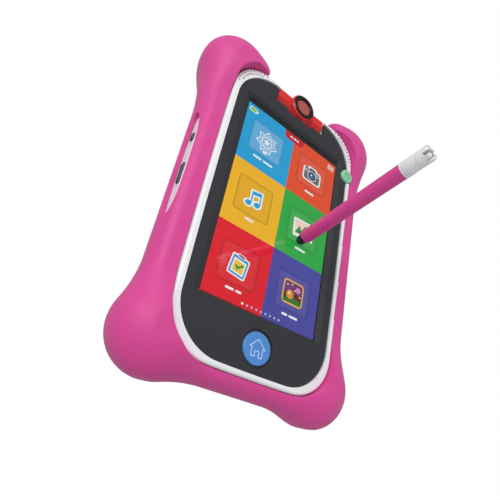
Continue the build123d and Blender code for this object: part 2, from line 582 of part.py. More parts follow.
with BuildPart() as camera_barrel:
    with BuildSketch(across):
        RegularPolygon(BARREL_APOTHEM, 8, major_radius=False, rotation=22.5)
        fillet(vertices(), radius=1.0)
    extrude(amount=BARREL_HALF_LENGTH, both=True)
    fillet(camera_barrel.faces().filter_by(Axis.X).edges(), radius=0.5)
    disc(0, CAMERA_Z, POD_RADIUS, (CAMERA_DEPTH - POD_FRONT, CAMERA_DEPTH + POD_BACK))
    fillet(camera_barrel.faces().sort_by(Axis.Y)[0].edges(), radius=0.8)
    disc(0, CAMERA_Z, RING_RADIUS, (POD_FACE - 1, POD_FACE + 0.6), Mode.SUBTRACT)
    disc(0, CAMERA_Z, LENS_RADIUS, (POD_FACE - 1, POD_FACE + 5.0), Mode.SUBTRACT)
    with BuildSketch(across):
        Circle(PIN_RADIUS)
    extrude(amount=BARREL_HALF_LENGTH + 1, both=True, mode=Mode.SUBTRACT)
    disc(0, CAMERA_Z, LENS_RADIUS, (CAMERA_DEPTH - 2.6, CAMERA_DEPTH + 2.0))

with BuildPart() as camera_lens_ring:
    disc(0, CAMERA_Z, RING_RADIUS - 0.05, (POD_FACE - 0.4, POD_FACE + 0.6))
    disc(0, CAMERA_Z, LENS_RADIUS - 0.1, (POD_FACE - 0.4, POD_FACE + 0.6), Mode.SUBTRACT)
    fillet(camera_lens_ring.faces().sort_by(Axis.Y)[0].edges(), radius=0.4)

with BuildPart() as camera_lens:
    disc(0, CAMERA_Z, LENS_RADIUS - 0.15, (POD_FACE + 0.3, POD_FACE + 1.3))
    fillet(camera_lens.faces().sort_by(Axis.Y)[0].edges(), radius=0.45)

with BuildPart() as camera_sensor:
    disc(0, CAMERA_Z, LENS_RADIUS - 0.8, (POD_FACE + 2.2, POD_FACE + 5.0))
    disc(0, CAMERA_Z, LENS_RADIUS - 2.6, (POD_FACE + 1.7, POD_FACE + 3.2))

with BuildPart() as camera_pins:
    for side in (-1, 1):
        with BuildSketch(Plane.YZ.offset(side * (BARREL_HALF_LENGTH - PIN_DEPTH))):
            with Locations((CAMERA_Y, CAMERA_HEIGHT)):
                Circle(PIN_RADIUS)
        extrude(amount=side * (NOTCH_HALF_WIDTH + CHEEK - 0.3 - BARREL_HALF_LENGTH + PIN_DEPTH))

# -------------------------------------------------------------- soft bumper
with BuildPart() as bumper_knob:
    with BuildSketch(layer(KNOB_BACK)):
        Circle(KNOB_RADIUS)
    extrude(amount=KNOB_BACK - KNOB_FRONT)
    fillet(bumper_knob.faces().filter_by(Axis.Y).edges(), radius=KNOB_ROUNDING)

KNOB_PLACES = [(side * KNOB_X, z) for side in (-1, 1) for z in (KNOB_LOW_Z, KNOB_HIGH_Z)]


def blend_room(edge_drop):
    """Largest blend radius that fits between a knob and the middle of its edge."""
    small_radius = KNOB_RADIUS - KNOB_STEP
    room = (KNOB_X - 2.0) ** 2 - small_radius ** 2 + edge_drop ** 2
    return room / (2 * (small_radius - edge_drop))


with BuildPart() as bumper:
    with BuildSketch(layer(WAIST_BACK)):
        with Locations((0, (WAIST_LOW + WAIST_HIGH) / 2)):
            RectangleRounded(2 * WAIST_HALF_WIDTH, WAIST_HIGH - WAIST_LOW, WAIST_CORNER)
        with Locations(*KNOB_PLACES):
            Circle(KNOB_RADIUS - KNOB_STEP)
        fillet(vertices().sort_by(Axis.Y)[4:], radius=min(KNOB_BLEND_HIGH, blend_room(WAIST_HIGH - KNOB_HIGH_Z)))
        fillet(vertices().sort_by(Axis.Y)[:4], radius=min(KNOB_BLEND_LOW, blend_room(KNOB_LOW_Z - WAIST_LOW)))
    extrude(amount=WAIST_BACK - WAIST_FRONT)
    fillet(bumper.faces().filter_by(Axis.Y).edges(), radius=WAIST_ROUNDING)
    for knob_x, knob_z in KNOB_PLACES:
        add(bumper_knob.part.moved(Location((knob_x, 0, knob_z))))
    # pocket that holds the case, and its open back
    with BuildSketch(layer(CASE_BACK + SLEEVE_GAP)):
        case_face(SLEEVE_GAP)
    extrude(amount=CASE_BACK - SHOULDER + 2 * SLEEVE_GAP, mode=Mode.SUBTRACT)
    with BuildSketch(layer(SHOULDER)):
        frame_face(SLEEVE_GAP)
    extrude(amount=SHOULDER - KNOB_FRONT + 1, mode=Mode.SUBTRACT)
    with BuildSketch(layer(KNOB_BACK + 1)):
        case_face(-SLEEVE_BACK_INSET)
    extrude(amount=KNOB_BACK + 1 - CASE_BACK, mode=Mode.SUBTRACT)
    disc(POWER_X, POWER_Z, POWER_RADIUS + POWER_POCKET_GAP, (KNOB_FRONT, SHOULDER + 0.2), Mode.SUBTRACT)
    # gap for the camera and slots over the side controls
    block((-CAMERA_GAP_HALF, CAMERA_GAP_HALF), (CASE_HIGH - 10, WAIST_HIGH + 10),
          (KNOB_FRONT - 1, KNOB_BACK + 1), Mode.SUBTRACT)
    for side in (-1, 1):
        side_prism(side, SLOT_MIDDLE, (SLOT_BACK - SLOT_FRONT, 2 * SLOT_HALF_LENGTH),
                   (SLOT_FRONT + SLOT_BACK) / 2, (CASE_HALF_WIDTH - 3, WAIST_HALF_WIDTH + 3),
                   (SLOT_BACK - SLOT_FRONT) / 2 - 0.05, Mode.SUBTRACT)
    # flat feet on the floor
    with BuildSketch(Plane.XY.offset(-20)):
        Rectangle(3 * WAIST_HALF_WIDTH, 3 * WAIST_HALF_WIDTH)
    extrude(amount=20, mode=Mode.SUBTRACT)

# ------------------------------------------------------------------- stylus
stylus_place = Plane(
    origin=(STYLUS_TOUCH_X, SCREEN_Y + GLASS_FRONT - TIP_RADIUS - TIP_STANDOFF, SCREEN_Z + STYLUS_TOUCH_Z),
    x_dir=(1, 0, 0), z_dir=STYLUS_DIRECTION)
stylus_axis = Axis(stylus_place.origin, stylus_place.z_dir)
STANDING = (Align.CENTER, Align.CENTER, Align.MIN)
BARREL_START = TIP_LENGTH - TIP_RADIUS
FERRULE_START = BARREL_START + STYLUS_BARREL_LENGTH
CAP_START = FERRULE_START + FERRULE_LENGTH

with BuildPart(stylus_place.offset(-TIP_RADIUS)) as stylus_tip:
    Cylinder(TIP_RADIUS, TIP_LENGTH, align=STANDING)
    fillet(stylus_tip.edges().filter_by(GeomType.CIRCLE).sort_by(stylus_axis)[0], radius=0.9 * TIP_RADIUS)
    with Locations((0, 0, TIP_LENGTH)):
        Cylinder(TANG_RADIUS, TANG_LENGTH, align=STANDING)

with BuildPart(stylus_place.offset(BARREL_START)) as stylus_barrel:
    Cylinder(STYLUS_RADIUS, STYLUS_BARREL_LENGTH, align=STANDING)
    fillet(stylus_barrel.edges().filter_by(GeomType.CIRCLE).sort_by(stylus_axis)[0], radius=STYLUS_END_ROUNDING)
    Cylinder(TANG_RADIUS, TANG_LENGTH, align=STANDING, mode=Mode.SUBTRACT)

RING_PITCH = FERRULE_LENGTH / FERRULE_RINGS

with BuildPart(stylus_place.offset(FERRULE_START)) as stylus_ferrule:
    Cylinder(STYLUS_RADIUS - FERRULE_GROOVE, FERRULE_LENGTH, align=STANDING)
    for ring in range(FERRULE_RINGS):
        with Locations((0, 0, ring * RING_PITCH + FERRULE_GROOVE / 2)):
            Cylinder(STYLUS_RADIUS + FERRULE_PROUD, RING_PITCH - FERRULE_GROOVE, align=STANDING)

with BuildPart(stylus_place.offset(CAP_START)) as stylus_cap:
    Cylinder(STYLUS_RADIUS, CAP_LENGTH, align=STANDING)
    fillet(stylus_cap.edges().filter_by(GeomType.CIRCLE).sort_by(stylus_axis)[-1], radius=STYLUS_END_ROUNDING)
    with Locations((0, 0, CAP_GROOVE_START)):
        Cylinder(2 * STYLUS_RADIUS, CAP_GROOVE_WIDTH, align=STANDING, mode=Mode.SUBTRACT)
        Cylinder(STYLUS_RADIUS - FERRULE_GROOVE, CAP_GROOVE_WIDTH, align=STANDING)
    with Locations((0, 0, CAP_LENGTH - CAP_NOTCH_DEPTH)):
        for pair in range(CAP_NOTCH_PAIRS):
            Box(CAP_NOTCH_WIDTH, 3 * STYLUS_RADIUS, CAP_NOTCH_DEPTH, align=STANDING,
                rotation=(0, 0, 180 * pair / CAP_NOTCH_PAIRS), mode=Mode.SUBTRACT)
        Cylinder(INSERT_RADIUS + INSERT_GAP, CAP_NOTCH_DEPTH, align=STANDING, mode=Mode.SUBTRACT)

with BuildPart(stylus_place.offset(CAP_START + CAP_LENGTH - CAP_NOTCH_DEPTH)) as stylus_end_insert:
    Cylinder(INSERT_RADIUS, INSERT_LENGTH, align=STANDING)
    fillet(stylus_end_insert.edges().filter_by(GeomType.CIRCLE).sort_by(stylus_axis)[-1], radius=INSERT_ROUNDING)

# ------------------------------------------------------------------- export
pieces = {
    "bumper": bumper,
    "front_shell": front_shell,
    "rear_shell": rear_shell,
    "case_screws": case_screws,
    "bezel_panel": bezel_panel,
    "touch_glass": touch_glass,
    "display_panel": display_panel,
    "display_backplate": display_backplate,
    "main_board": main_board,
    "board_chips": board_chips,
    "board_screws": board_screws,
    "battery_pack": battery_pack,
    "speakers": speakers,
    "microphone": microphone,
    "home_button": home_button,
    "home_symbol": home_symbol,
    "home_switch": home_switch,
    "power_button": power_button,
    "power_symbol": power_symbol,
    "power_switch": power_switch,
    "volume_rocker": volume_rocker,
    "side_key": side_key,
    "side_key_switches": side_key_switches,
    "side_key_board": side_key_board,
    "earphone_socket": earphone_socket,
    "charging_socket": charging_socket,
    "camera_barrel": camera_barrel,
    "camera_lens_ring": camera_lens_ring,
    "camera_lens": camera_lens,
    "camera_sensor": camera_sensor,
    "camera_pins": camera_pins,
    "stylus_tip": stylus_tip,
    "stylus_barrel": stylus_barrel,
    "stylus_ferrule": stylus_ferrule,
    "stylus_cap": stylus_cap,
    "stylus_end_insert": stylus_end_insert,
}

os.makedirs("parts", exist_ok=True)
for node_name, piece in pieces.items():
    piece.part.label = node_name
    export_step(piece.part, f"parts/{node_name}.step")
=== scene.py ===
"""Looks of a children's touch-screen handheld in a soft bumper, with its camera and stylus."""
import json
import math

import bmesh
import bpy
import numpy as np
from mathutils import Matrix, Vector


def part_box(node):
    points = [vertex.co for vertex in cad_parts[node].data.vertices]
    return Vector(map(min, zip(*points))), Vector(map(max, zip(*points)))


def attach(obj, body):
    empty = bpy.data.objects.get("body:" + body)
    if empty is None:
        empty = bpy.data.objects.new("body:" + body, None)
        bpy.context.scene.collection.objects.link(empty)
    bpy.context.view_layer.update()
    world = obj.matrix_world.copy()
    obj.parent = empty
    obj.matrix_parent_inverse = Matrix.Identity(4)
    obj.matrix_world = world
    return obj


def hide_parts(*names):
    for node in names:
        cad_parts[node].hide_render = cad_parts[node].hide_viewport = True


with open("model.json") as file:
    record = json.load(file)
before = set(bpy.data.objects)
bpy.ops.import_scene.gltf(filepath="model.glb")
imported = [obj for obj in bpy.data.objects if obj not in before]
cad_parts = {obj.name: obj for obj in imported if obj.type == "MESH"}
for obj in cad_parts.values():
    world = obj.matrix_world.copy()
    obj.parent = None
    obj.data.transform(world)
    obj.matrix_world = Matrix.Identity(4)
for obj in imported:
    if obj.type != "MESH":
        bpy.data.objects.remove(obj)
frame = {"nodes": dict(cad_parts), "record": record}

bl_info = {
    "name": "Touch-Screen Handheld",
    "version": (1, 0, 0),
    "blender": (4, 5, 0),
    "location": "3D View > Sidebar > Handheld",
    "description": "Builds the bumper, screen picture, finishes and studio of a children's handheld",
    "category": "Object",
}

MM = 0.001
NODES = frame["nodes"]
MAIN_BODY = "handheld"
GLASS_LOW, GLASS_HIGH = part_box("touch_glass")
DISPLAY_LOW, DISPLAY_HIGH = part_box("display_panel")
GLASS_LEAD = 0.4 * MM
GLASS_CORNER = 1.5
GLASS_MARGIN_LOW = 58.4 * MM
SCREEN_Y = GLASS_LOW.y + GLASS_LEAD
SCREEN_Z = GLASS_LOW.z + GLASS_MARGIN_LOW


# ------------------------------------------------------------------ settings
def length_property(name, description, millimetres):
    """Length setting."""
    return bpy.props.FloatProperty(
        name=name, description=description, default=millimetres * MM, unit="LENGTH")


class HandheldSizes(bpy.types.PropertyGroup):
    """Sizes of the parts that are made here."""

    image_width: length_property("Picture Width", "Lit width of the screen", 64.8)
    image_height: length_property("Picture Height", "Lit height of the screen", 108.0)
    knob_radius: length_property("Knob Radius", "Radius of a bumper knob seen from the front", 19.6)
    knob_blend_low: length_property("Lower Knob Blend", "Radius of the hollow above a lower knob", 60.0)
    knob_blend_high: length_property("Upper Knob Blend", "Radius of the hollow below an upper knob", 120.0)
    side_rounding: length_property("Side Rounding", "How far the bumper's sides are rounded over", 6.7)
    knob_rounding: length_property("Knob Rounding", "How far the knobs are rounded over", 11.5)
    camera_gap: length_property("Camera Gap", "Half the width of the gap at the bumper's top", 26.0)
    sleeve_gap: length_property("Sleeve Gap", "Space between the case and the bumper", 0.2)


def colour_property(name, description, value):
    """Colour setting in linear light."""
    return bpy.props.FloatVectorProperty(
        name=name, description=description, default=value, subtype="COLOR", size=3, min=0.0, max=1.0)


class HandheldColours(bpy.types.PropertyGroup):
    """Colours of the finishes."""

    bumper: colour_property("Bumper", "Soft silicone of the bumper", (0.735, 0.058, 0.310))
    casing: colour_property("Casing", "Moulded case and frame", (0.90, 0.91, 0.92))
    bezel: colour_property("Bezel", "Panel round the screen", (0.040, 0.041, 0.046))
    home: colour_property("Home Button", "Round button under the screen", (0.085, 0.280, 0.700))
    power: colour_property("Power Button", "Round button beside the screen", (0.300, 0.690, 0.430))
    camera: colour_property("Camera", "Swivel camera", (0.760, 0.030, 0.030))
    stylus: colour_property("Stylus", "Stylus barrel", (0.820, 0.070, 0.340))


# ------------------------------------------------------------- shader groups
def shader_group(name, inputs, outputs):
    """Empty shader group with named sockets; returns the tree, its input node and its output node."""
    tree = bpy.data.node_groups.new(name, "ShaderNodeTree")
    for label, kind, default in inputs:
        socket = tree.interface.new_socket(label, in_out="INPUT", socket_type=kind)
        socket.default_value = default
    for label, kind in outputs:
        tree.interface.new_socket(label, in_out="OUTPUT", socket_type=kind)
    return tree, tree.nodes.new("NodeGroupInput"), tree.nodes.new("NodeGroupOutput")


def noise(tree, coordinates, scale, detail=4.0, roughness=0.55):
    """Noise texture; scale is a number or a socket."""
    node = tree.nodes.new("ShaderNodeTexNoise")
    node.inputs["Detail"].default_value = detail
    node.inputs["Roughness"].default_value = roughness
    tree.links.new(coordinates, node.inputs["Vector"])
    if isinstance(scale, (int, float)):
        node.inputs["Scale"].default_value = scale
    else:
        tree.links.new(scale, node.inputs["Scale"])
    return node.outputs["Fac"]


def maths(tree, operation, first, second=None, third=None):
    """Math node; each operand is a number or a socket."""
    node = tree.nodes.new("ShaderNodeMath")
    node.operation = operation
    for place, value in enumerate((first, second, third)):
        if value is None:
            continue
        if isinstance(value, (int, float)):
            node.inputs[place].default_value = value
        else:
            tree.links.new(value, node.inputs[place])
    return node.outputs[0]


def make_grain_group():
    """Fine moulded grain: a height and a roughness that wander slightly over the surface."""
    tree, given, result = shader_group(
        "Moulded Grain",
        [("Grain Scale", "NodeSocketFloat", 2500.0), ("Roughness", "NodeSocketFloat", 0.4),
         ("Roughness Spread", "NodeSocketFloat", 0.1)],
        [("Roughness", "NodeSocketFloat"), ("Height", "NodeSocketFloat")])
    place = tree.nodes.new("ShaderNodeTexCoord").outputs["Object"]
    fine = noise(tree, place, given.outputs["Grain Scale"], 3.0, 0.6)
    broad = noise(tree, place, 60.0, 5.0, 0.6)
    wander = maths(tree, "SUBTRACT", broad, 0.5)
    spread = maths(tree, "MULTIPLY_ADD", wander, given.outputs["Roughness Spread"],
                   given.outputs["Roughness"])
    tree.links.new(maths(tree, "MAXIMUM", spread, 0.03), result.inputs["Roughness"])
    tree.links.new(fine, result.inputs["Height"])
    return tree


def make_drift_group():
    """Slight darker and lighter drift of one colour over a surface."""
    tree, given, result = shader_group(
        "Tone Drift",
        [("Colour", "NodeSocketColor", (0.5, 0.5, 0.5, 1.0)), ("Drift", "NodeSocketFloat", 0.1),
         ("Drift Scale", "NodeSocketFloat", 25.0)],
        [("Colour", "NodeSocketColor")])
    place = tree.nodes.new("ShaderNodeTexCoord").outputs["Object"]
    wander = maths(tree, "SUBTRACT", noise(tree, place, given.outputs["Drift Scale"], 4.0), 0.5)
    shift = maths(tree, "MULTIPLY_ADD", wander, given.outputs["Drift"], 1.0)
    scale = tree.nodes.new("ShaderNodeVectorMath")
    scale.operation = "SCALE"
    tree.links.new(given.outputs["Colour"], scale.inputs[0])
    tree.links.new(shift, scale.inputs["Scale"])
    tree.links.new(scale.outputs[0], result.inputs["Colour"])
    return tree


def make_smudge_group():
    """Faint finger smudges, as a mask from 0 to 1."""
    tree, given, result = shader_group(
        "Finger Smudges", [("Smudge Scale", "NodeSocketFloat", 45.0)], [("Mask", "NodeSocketFloat")])
    place = tree.nodes.new("ShaderNodeTexCoord").outputs["Object"]
    patches = noise(tree, place, given.outputs["Smudge Scale"], 6.0, 0.7)
    ramp = tree.nodes.new("ShaderNodeMapRange")
    ramp.inputs["From Min"].default_value = 0.52
    ramp.inputs["From Max"].default_value = 0.78
    tree.links.new(patches, ramp.inputs["Value"])
    tree.links.new(ramp.outputs["Result"], result.inputs["Mask"])
    return tree


GROUP_MAKERS = {
    "Moulded Grain": make_grain_group,
    "Tone Drift": make_drift_group,
    "Finger Smudges": make_smudge_group,
}


def use_group(tree, name, **values):
    """Puts a shared group in a material; keyword names are its inputs with underscores for spaces."""
    group = bpy.data.node_groups.get(name) or GROUP_MAKERS[name]()
    node = tree.nodes.new("ShaderNodeGroup")
    node.node_tree = group
    for key, value in values.items():
        node.inputs[key.replace("_", " ")].default_value = value
    return node


# ----------------------------------------------------------------- materials
def new_material(name):
    """Material with an empty Principled surface; returns the material, its tree and the shader."""
    material = bpy.data.materials.new(name)
    material.use_nodes = True
    tree = material.node_tree
    shader = next(node for node in tree.nodes if node.type == "BSDF_PRINCIPLED")
    return material, tree, shader


def rgba(colour):
    """Colour with full alpha."""
    return (colour[0], colour[1], colour[2], 1.0)


def moulded(name, colour, roughness, grain=2500.0, depth=0.01, drift=0.06, coat=0.0, spread=0.1,
            subsurface=0.0, sheen=0.0, specular=0.5):
    """Moulded plastic or rubber with fine grain, drifting tone and uneven gloss."""
    material, tree, shader = new_material(name)
    grain_node = use_group(tree, "Moulded Grain", Grain_Scale=grain, Roughness=roughness,
                           Roughness_Spread=spread)
    tone = use_group(tree, "Tone Drift", Colour=rgba(colour), Drift=drift)
    bump = tree.nodes.new("ShaderNodeBump")
    bump.inputs["Strength"].default_value = 0.35
    bump.inputs["Distance"].default_value = depth * MM
    tree.links.new(grain_node.outputs["Height"], bump.inputs["Height"])
    tree.links.new(bump.outputs["Normal"], shader.inputs["Normal"])
    tree.links.new(grain_node.outputs["Roughness"], shader.inputs["Roughness"])
    tree.links.new(tone.outputs["Colour"], shader.inputs["Base Color"])
    shader.inputs["Coat Weight"].default_value = coat
    shader.inputs["Coat Roughness"].default_value = 0.12
    shader.inputs["Specular IOR Level"].default_value = specular
    if subsurface:
        shader.inputs["Subsurface Weight"].default_value = subsurface
        shader.inputs["Subsurface Radius"].default_value = (1.0, 0.35, 0.5)
        shader.inputs["Subsurface Scale"].default_value = 1.5 * MM
    if sheen:
        shader.inputs["Sheen Weight"].default_value = sheen
        shader.inputs["Sheen Roughness"].default_value = 0.5
    return material


def brushed(name, colour, roughness, stretch=(40.0, 40.0, 1500.0)):
    """Metal with fine lines drawn across it."""
    material, tree, shader = new_material(name)
    place = tree.nodes.new("ShaderNodeTexCoord")
    mapping = tree.nodes.new("ShaderNodeMapping")
    mapping.inputs["Scale"].default_value = stretch
    tree.links.new(place.outputs["Object"], mapping.inputs["Vector"])
    lines = noise(tree, mapping.outputs["Vector"], 1.0, 6.0, 0.7)
    tone = use_group(tree, "Tone Drift", Colour=rgba(colour), Drift=0.15, Drift_Scale=200.0)
    tree.links.new(tone.outputs["Colour"], shader.inputs["Base Color"])
    tree.links.new(maths(tree, "MULTIPLY_ADD", lines, 0.25, roughness - 0.1), shader.inputs["Roughness"])
    bump = tree.nodes.new("ShaderNodeBump")
    bump.inputs["Strength"].default_value = 0.3
    bump.inputs["Distance"].default_value = 0.01 * MM
    tree.links.new(lines, bump.inputs["Height"])
    tree.links.new(bump.outputs["Normal"], shader.inputs["Normal"])
    shader.inputs["Metallic"].default_value = 1.0
    return material


def clear_glass(name, colour, transmission, roughness=0.03, ior=1.48):
    """Clear pane with faint finger smudges in its gloss."""
    material, tree, shader = new_material(name)
    smudges = use_group(tree, "Finger Smudges")
    tree.links.new(maths(tree, "MULTIPLY_ADD", smudges.outputs["Mask"], 0.05, roughness),
                   shader.inputs["Roughness"])
    tone = use_group(tree, "Tone Drift", Colour=rgba(colour), Drift=0.02)
    tree.links.new(tone.outputs["Colour"], shader.inputs["Base Color"])
    shader.inputs["Transmission Weight"].default_value = transmission
    shader.inputs["IOR"].default_value = ior
    return material


def circuit(name):
    """Green circuit board with copper tracks under the lacquer."""
    material, tree, shader = new_material(name)
    place = tree.nodes.new("ShaderNodeTexCoord").outputs["Object"]
    cells = tree.nodes.new("ShaderNodeTexVoronoi")
    cells.feature = "DISTANCE_TO_EDGE"
    cells.inputs["Scale"].default_value = 320.0
    tree.links.new(place, cells.inputs["Vector"])
    track = maths(tree, "LESS_THAN", cells.outputs["Distance"], 0.06)
    mix = tree.nodes.new("ShaderNodeMix")
    mix.data_type = "RGBA"
    mix.inputs[6].default_value = (0.015, 0.13, 0.05, 1.0)
    mix.inputs[7].default_value = (0.05, 0.28, 0.10, 1.0)
    tree.links.new(track, mix.inputs[0])
    tree.links.new(mix.outputs[2], shader.inputs["Base Color"])
    grain_node = use_group(tree, "Moulded Grain", Roughness=0.35)
    tree.links.new(grain_node.outputs["Roughness"], shader.inputs["Roughness"])
    return material


DOT_PITCH = 0.135 * MM


def lit_picture(name):
    """Backlit picture: the tint stored on the faces, broken up by the panel's fine rows and columns."""
    material, tree, shader = new_material(name)
    tint = tree.nodes.new("ShaderNodeAttribute")
    tint.attribute_name = "tint"
    place = tree.nodes.new("ShaderNodeTexCoord").outputs["Object"]
    split = tree.nodes.new("ShaderNodeSeparateXYZ")
    tree.links.new(place, split.inputs[0])
    turns = 2 * math.pi / DOT_PITCH
    columns = maths(tree, "SINE", maths(tree, "MULTIPLY", split.outputs["X"], turns))
    rows = maths(tree, "SINE", maths(tree, "MULTIPLY", split.outputs["Z"], turns))
    weave = maths(tree, "MULTIPLY_ADD", maths(tree, "ADD", columns, rows), 0.02, 0.98)
    glow = maths(tree, "MULTIPLY_ADD", noise(tree, place, 30.0, 3.0), 0.06, -0.03)
    level = maths(tree, "ADD", weave, glow)
    scale = tree.nodes.new("ShaderNodeVectorMath")
    scale.operation = "SCALE"
    tree.links.new(tint.outputs["Color"], scale.inputs[0])
    tree.links.new(level, scale.inputs["Scale"])
    tree.links.new(scale.outputs[0], shader.inputs["Emission Color"])
    dim = tree.nodes.new("ShaderNodeVectorMath")
    dim.operation = "SCALE"
    dim.inputs["Scale"].default_value = 0.12
    tree.links.new(scale.outputs[0], dim.inputs[0])
    tree.links.new(dim.outputs[0], shader.inputs["Base Color"])
    shader.inputs["Emission Strength"].default_value = 0.86
    shader.inputs["Roughness"].default_value = 0.35
    return material


def finish_maker(colours):
    """Material maker for each material slot of the record."""
    pink = tuple(colours.bumper)
    white = tuple(colours.casing)
    return {
        "bumper_silicone": lambda: moulded("Pink Silicone", pink, 0.52, grain=3200.0, depth=0.012,
                                           drift=0.05, subsurface=0.12, sheen=0.15, specular=0.42),
        "white_plastic": lambda: moulded("White Casing", white, 0.32, depth=0.006, drift=0.03, coat=0.15),
        "bezel_plastic": lambda: moulded("Bezel Panel", tuple(colours.bezel), 0.38, grain=3800.0,
                                         depth=0.006, drift=0.10, specular=0.5),
        "screen_glass": lambda: clear_glass("Screen Glass", (0.97, 0.98, 1.0), 1.0),
        "display": lambda: moulded("Display Edge", (0.01, 0.01, 0.012), 0.3),
        "sheet_steel": lambda: brushed("Sheet Steel", (0.58, 0.58, 0.6), 0.4),
        "screw_steel": lambda: brushed("Screw Steel", (0.5, 0.5, 0.52), 0.32, (900.0, 60.0, 60.0)),
        "circuit_board": lambda: circuit("Circuit Board"),
        "chip_plastic": lambda: moulded("Chip Plastic", (0.02, 0.02, 0.022), 0.5, depth=0.02),
        "battery_film": lambda: moulded("Battery Film", (0.08, 0.09, 0.12), 0.3, drift=0.2, coat=0.3),
        # Black of the speaker cone, also used for the dark discs of painted shade in the speaker holes.
        "speaker_black": lambda: moulded("Speaker Cone and Hole Shade", (0.015, 0.015, 0.015), 0.6, depth=0.03),
        "home_blue": lambda: moulded("Home Blue", tuple(colours.home), 0.28, drift=0.08, coat=0.35),
        "home_line": lambda: moulded("Home Line", (0.60, 0.78, 0.97), 0.3, drift=0.05),
        "power_green": lambda: moulded("Power Green", tuple(colours.power), 0.3, drift=0.08, coat=0.3),
        "power_line": lambda: moulded("Power Line", (0.05, 0.30, 0.15), 0.35, drift=0.05),
        "key_grey": lambda: moulded("Key Grey", (0.095, 0.095, 0.105), 0.42, depth=0.015),
        "camera_red": lambda: moulded("Camera Red", tuple(colours.camera), 0.24, drift=0.06, coat=0.4,
                                      subsurface=0.08),
        "ring_black": lambda: moulded("Ring Black", (0.010, 0.009, 0.009), 0.16, coat=0.6),
        "lens_glass": lambda: clear_glass("Lens Glass", (0.66, 0.16, 0.13), 0.35, 0.08, 1.5),
        "sensor_black": lambda: moulded("Sensor Barrel", (0.05, 0.015, 0.012), 0.3),
        "socket_metal": lambda: brushed("Socket Metal", (0.42, 0.42, 0.44), 0.35),
        "stylus_pink": lambda: moulded("Stylus Pink", tuple(colours.stylus), 0.34, drift=0.05, coat=0.1),
        "stylus_white": lambda: moulded("Stylus White", (0.94, 0.94, 0.95), 0.35, drift=0.04),
        "tip_rubber": lambda: moulded("Tip Rubber", (0.018, 0.018, 0.019), 0.55, depth=0.03, sheen=0.2),
        "insert_grey": lambda: moulded("Insert Grey", (0.38, 0.38, 0.40), 0.4),
        "lit_picture": lambda: lit_picture("Lit Picture"),
    }


def finish(slot):
    """The material of a slot, made on first use."""
    if slot not in MADE:
        MADE[slot] = finish_maker(bpy.context.scene.handheld_colours)[slot]()
    return MADE[slot]


MADE = {}


# -------------------------------------------------------------- mesh helpers
def object_from(name, mesh, material):
    """Adds a finished mesh to the scene, at the origin."""
    mesh.materials.clear()
    mesh.materials.append(material)
    piece = bpy.data.objects.new(name, mesh)
    bpy.context.scene.collection.objects.link(piece)
    return piece


def settle(piece, body, replaced=()):
    """Says which body a piece rides on, and the nodes it stands for."""
    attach(piece, body)
    if replaced:
        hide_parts(*replaced)


def smooth(mesh, angle_degrees):
    """Smooth shading with sharp edges past an angle."""
    mesh.polygons.foreach_set("use_smooth", [True] * len(mesh.polygons))
    mesh.set_sharp_from_angle(angle=math.radians(angle_degrees))


def on_screen(x, depth, z):
    """Point in metres from mm about the middle of the lit picture; depth grows backwards."""
    return (x * MM, SCREEN_Y + depth * MM, SCREEN_Z + z * MM)


def closed_mesh(name, rings):
    """Closed skin through rings of points, capped at both ends, with its normals outward."""
    mesh = bmesh.new()
    loops = [[mesh.verts.new(point) for point in ring] for ring in rings]
    for here, there in zip(loops, loops[1:]):
        for i in range(len(here)):
            j = (i + 1) % len(here)
            mesh.faces.new((here[i], here[j], there[j], there[i]))
    mesh.faces.new(loops[0])
    mesh.faces.new(loops[-1][::-1])
    bmesh.ops.recalc_face_normals(mesh, faces=mesh.faces)
    return plain_mesh(name, mesh)


def plain_mesh(name, mesh):
    """The mesh that an edited mesh was made for."""
    result = bpy.data.meshes.new(name)
    mesh.to_mesh(result)
    mesh.free()
    return result


def arc(centre, radius, start, end, steps):
    """Points on an arc, in degrees."""
    return [(centre[0] + radius * math.cos(math.radians(start + (end - start) * i / steps)),
             centre[1] + radius * math.sin(math.radians(start + (end - start) * i / steps)))
            for i in range(steps + 1)]


def rounded_box(width, height, radius, steps=6, centre=(0.0, 0.0)):
    """Outline of a rounded rectangle, anticlockwise."""
    x, z = width / 2 - radius, height / 2 - radius
    corners = (((x, z), 0), ((-x, z), 90), ((-x, -z), 180), ((x, -z), 270))
    points = []
    for (corner_x, corner_z), start in corners:
        points += arc((centre[0] + corner_x, centre[1] + corner_z), radius, start, start + 90, steps)
    return points


# -------------------------------------------------------------------- bumper
FRAME_OUTLINE = dict(half=44.0, low=-82.6, high=77.3, low_corner=21.0, high_corner=18.5)
CASE_OUTLINE = dict(half=53.3, low=-87.0, high=81.5, low_corner=25.0, high_corner=25.0)
WAIST_HALF = 55.5
WAIST_LOW = -89.5
WAIST_HIGH = 87.5
WAIST_FRONT = -0.5
WAIST_BACK = 19.4
MIDDLE_DEPTH = 8.0
KNOB_X = 41.5
KNOB_LOW_Z = -74.1
KNOB_HIGH_Z = 73.2
KNOB_FRONT = -6.2
KNOB_BACK = 31.5
KNOB_SWELL = 27.0
SLEEVE_FRONT = 1.4
SLEEVE_BACK = 14.6
SHOULDER_ROUNDING = 1.2
BACK_EDGE_ROUNDING = 2.4
BACK_LIP = 8.0
END_EASE = 5.0
END_DROP = 3.4
END_RADIUS = 0.3


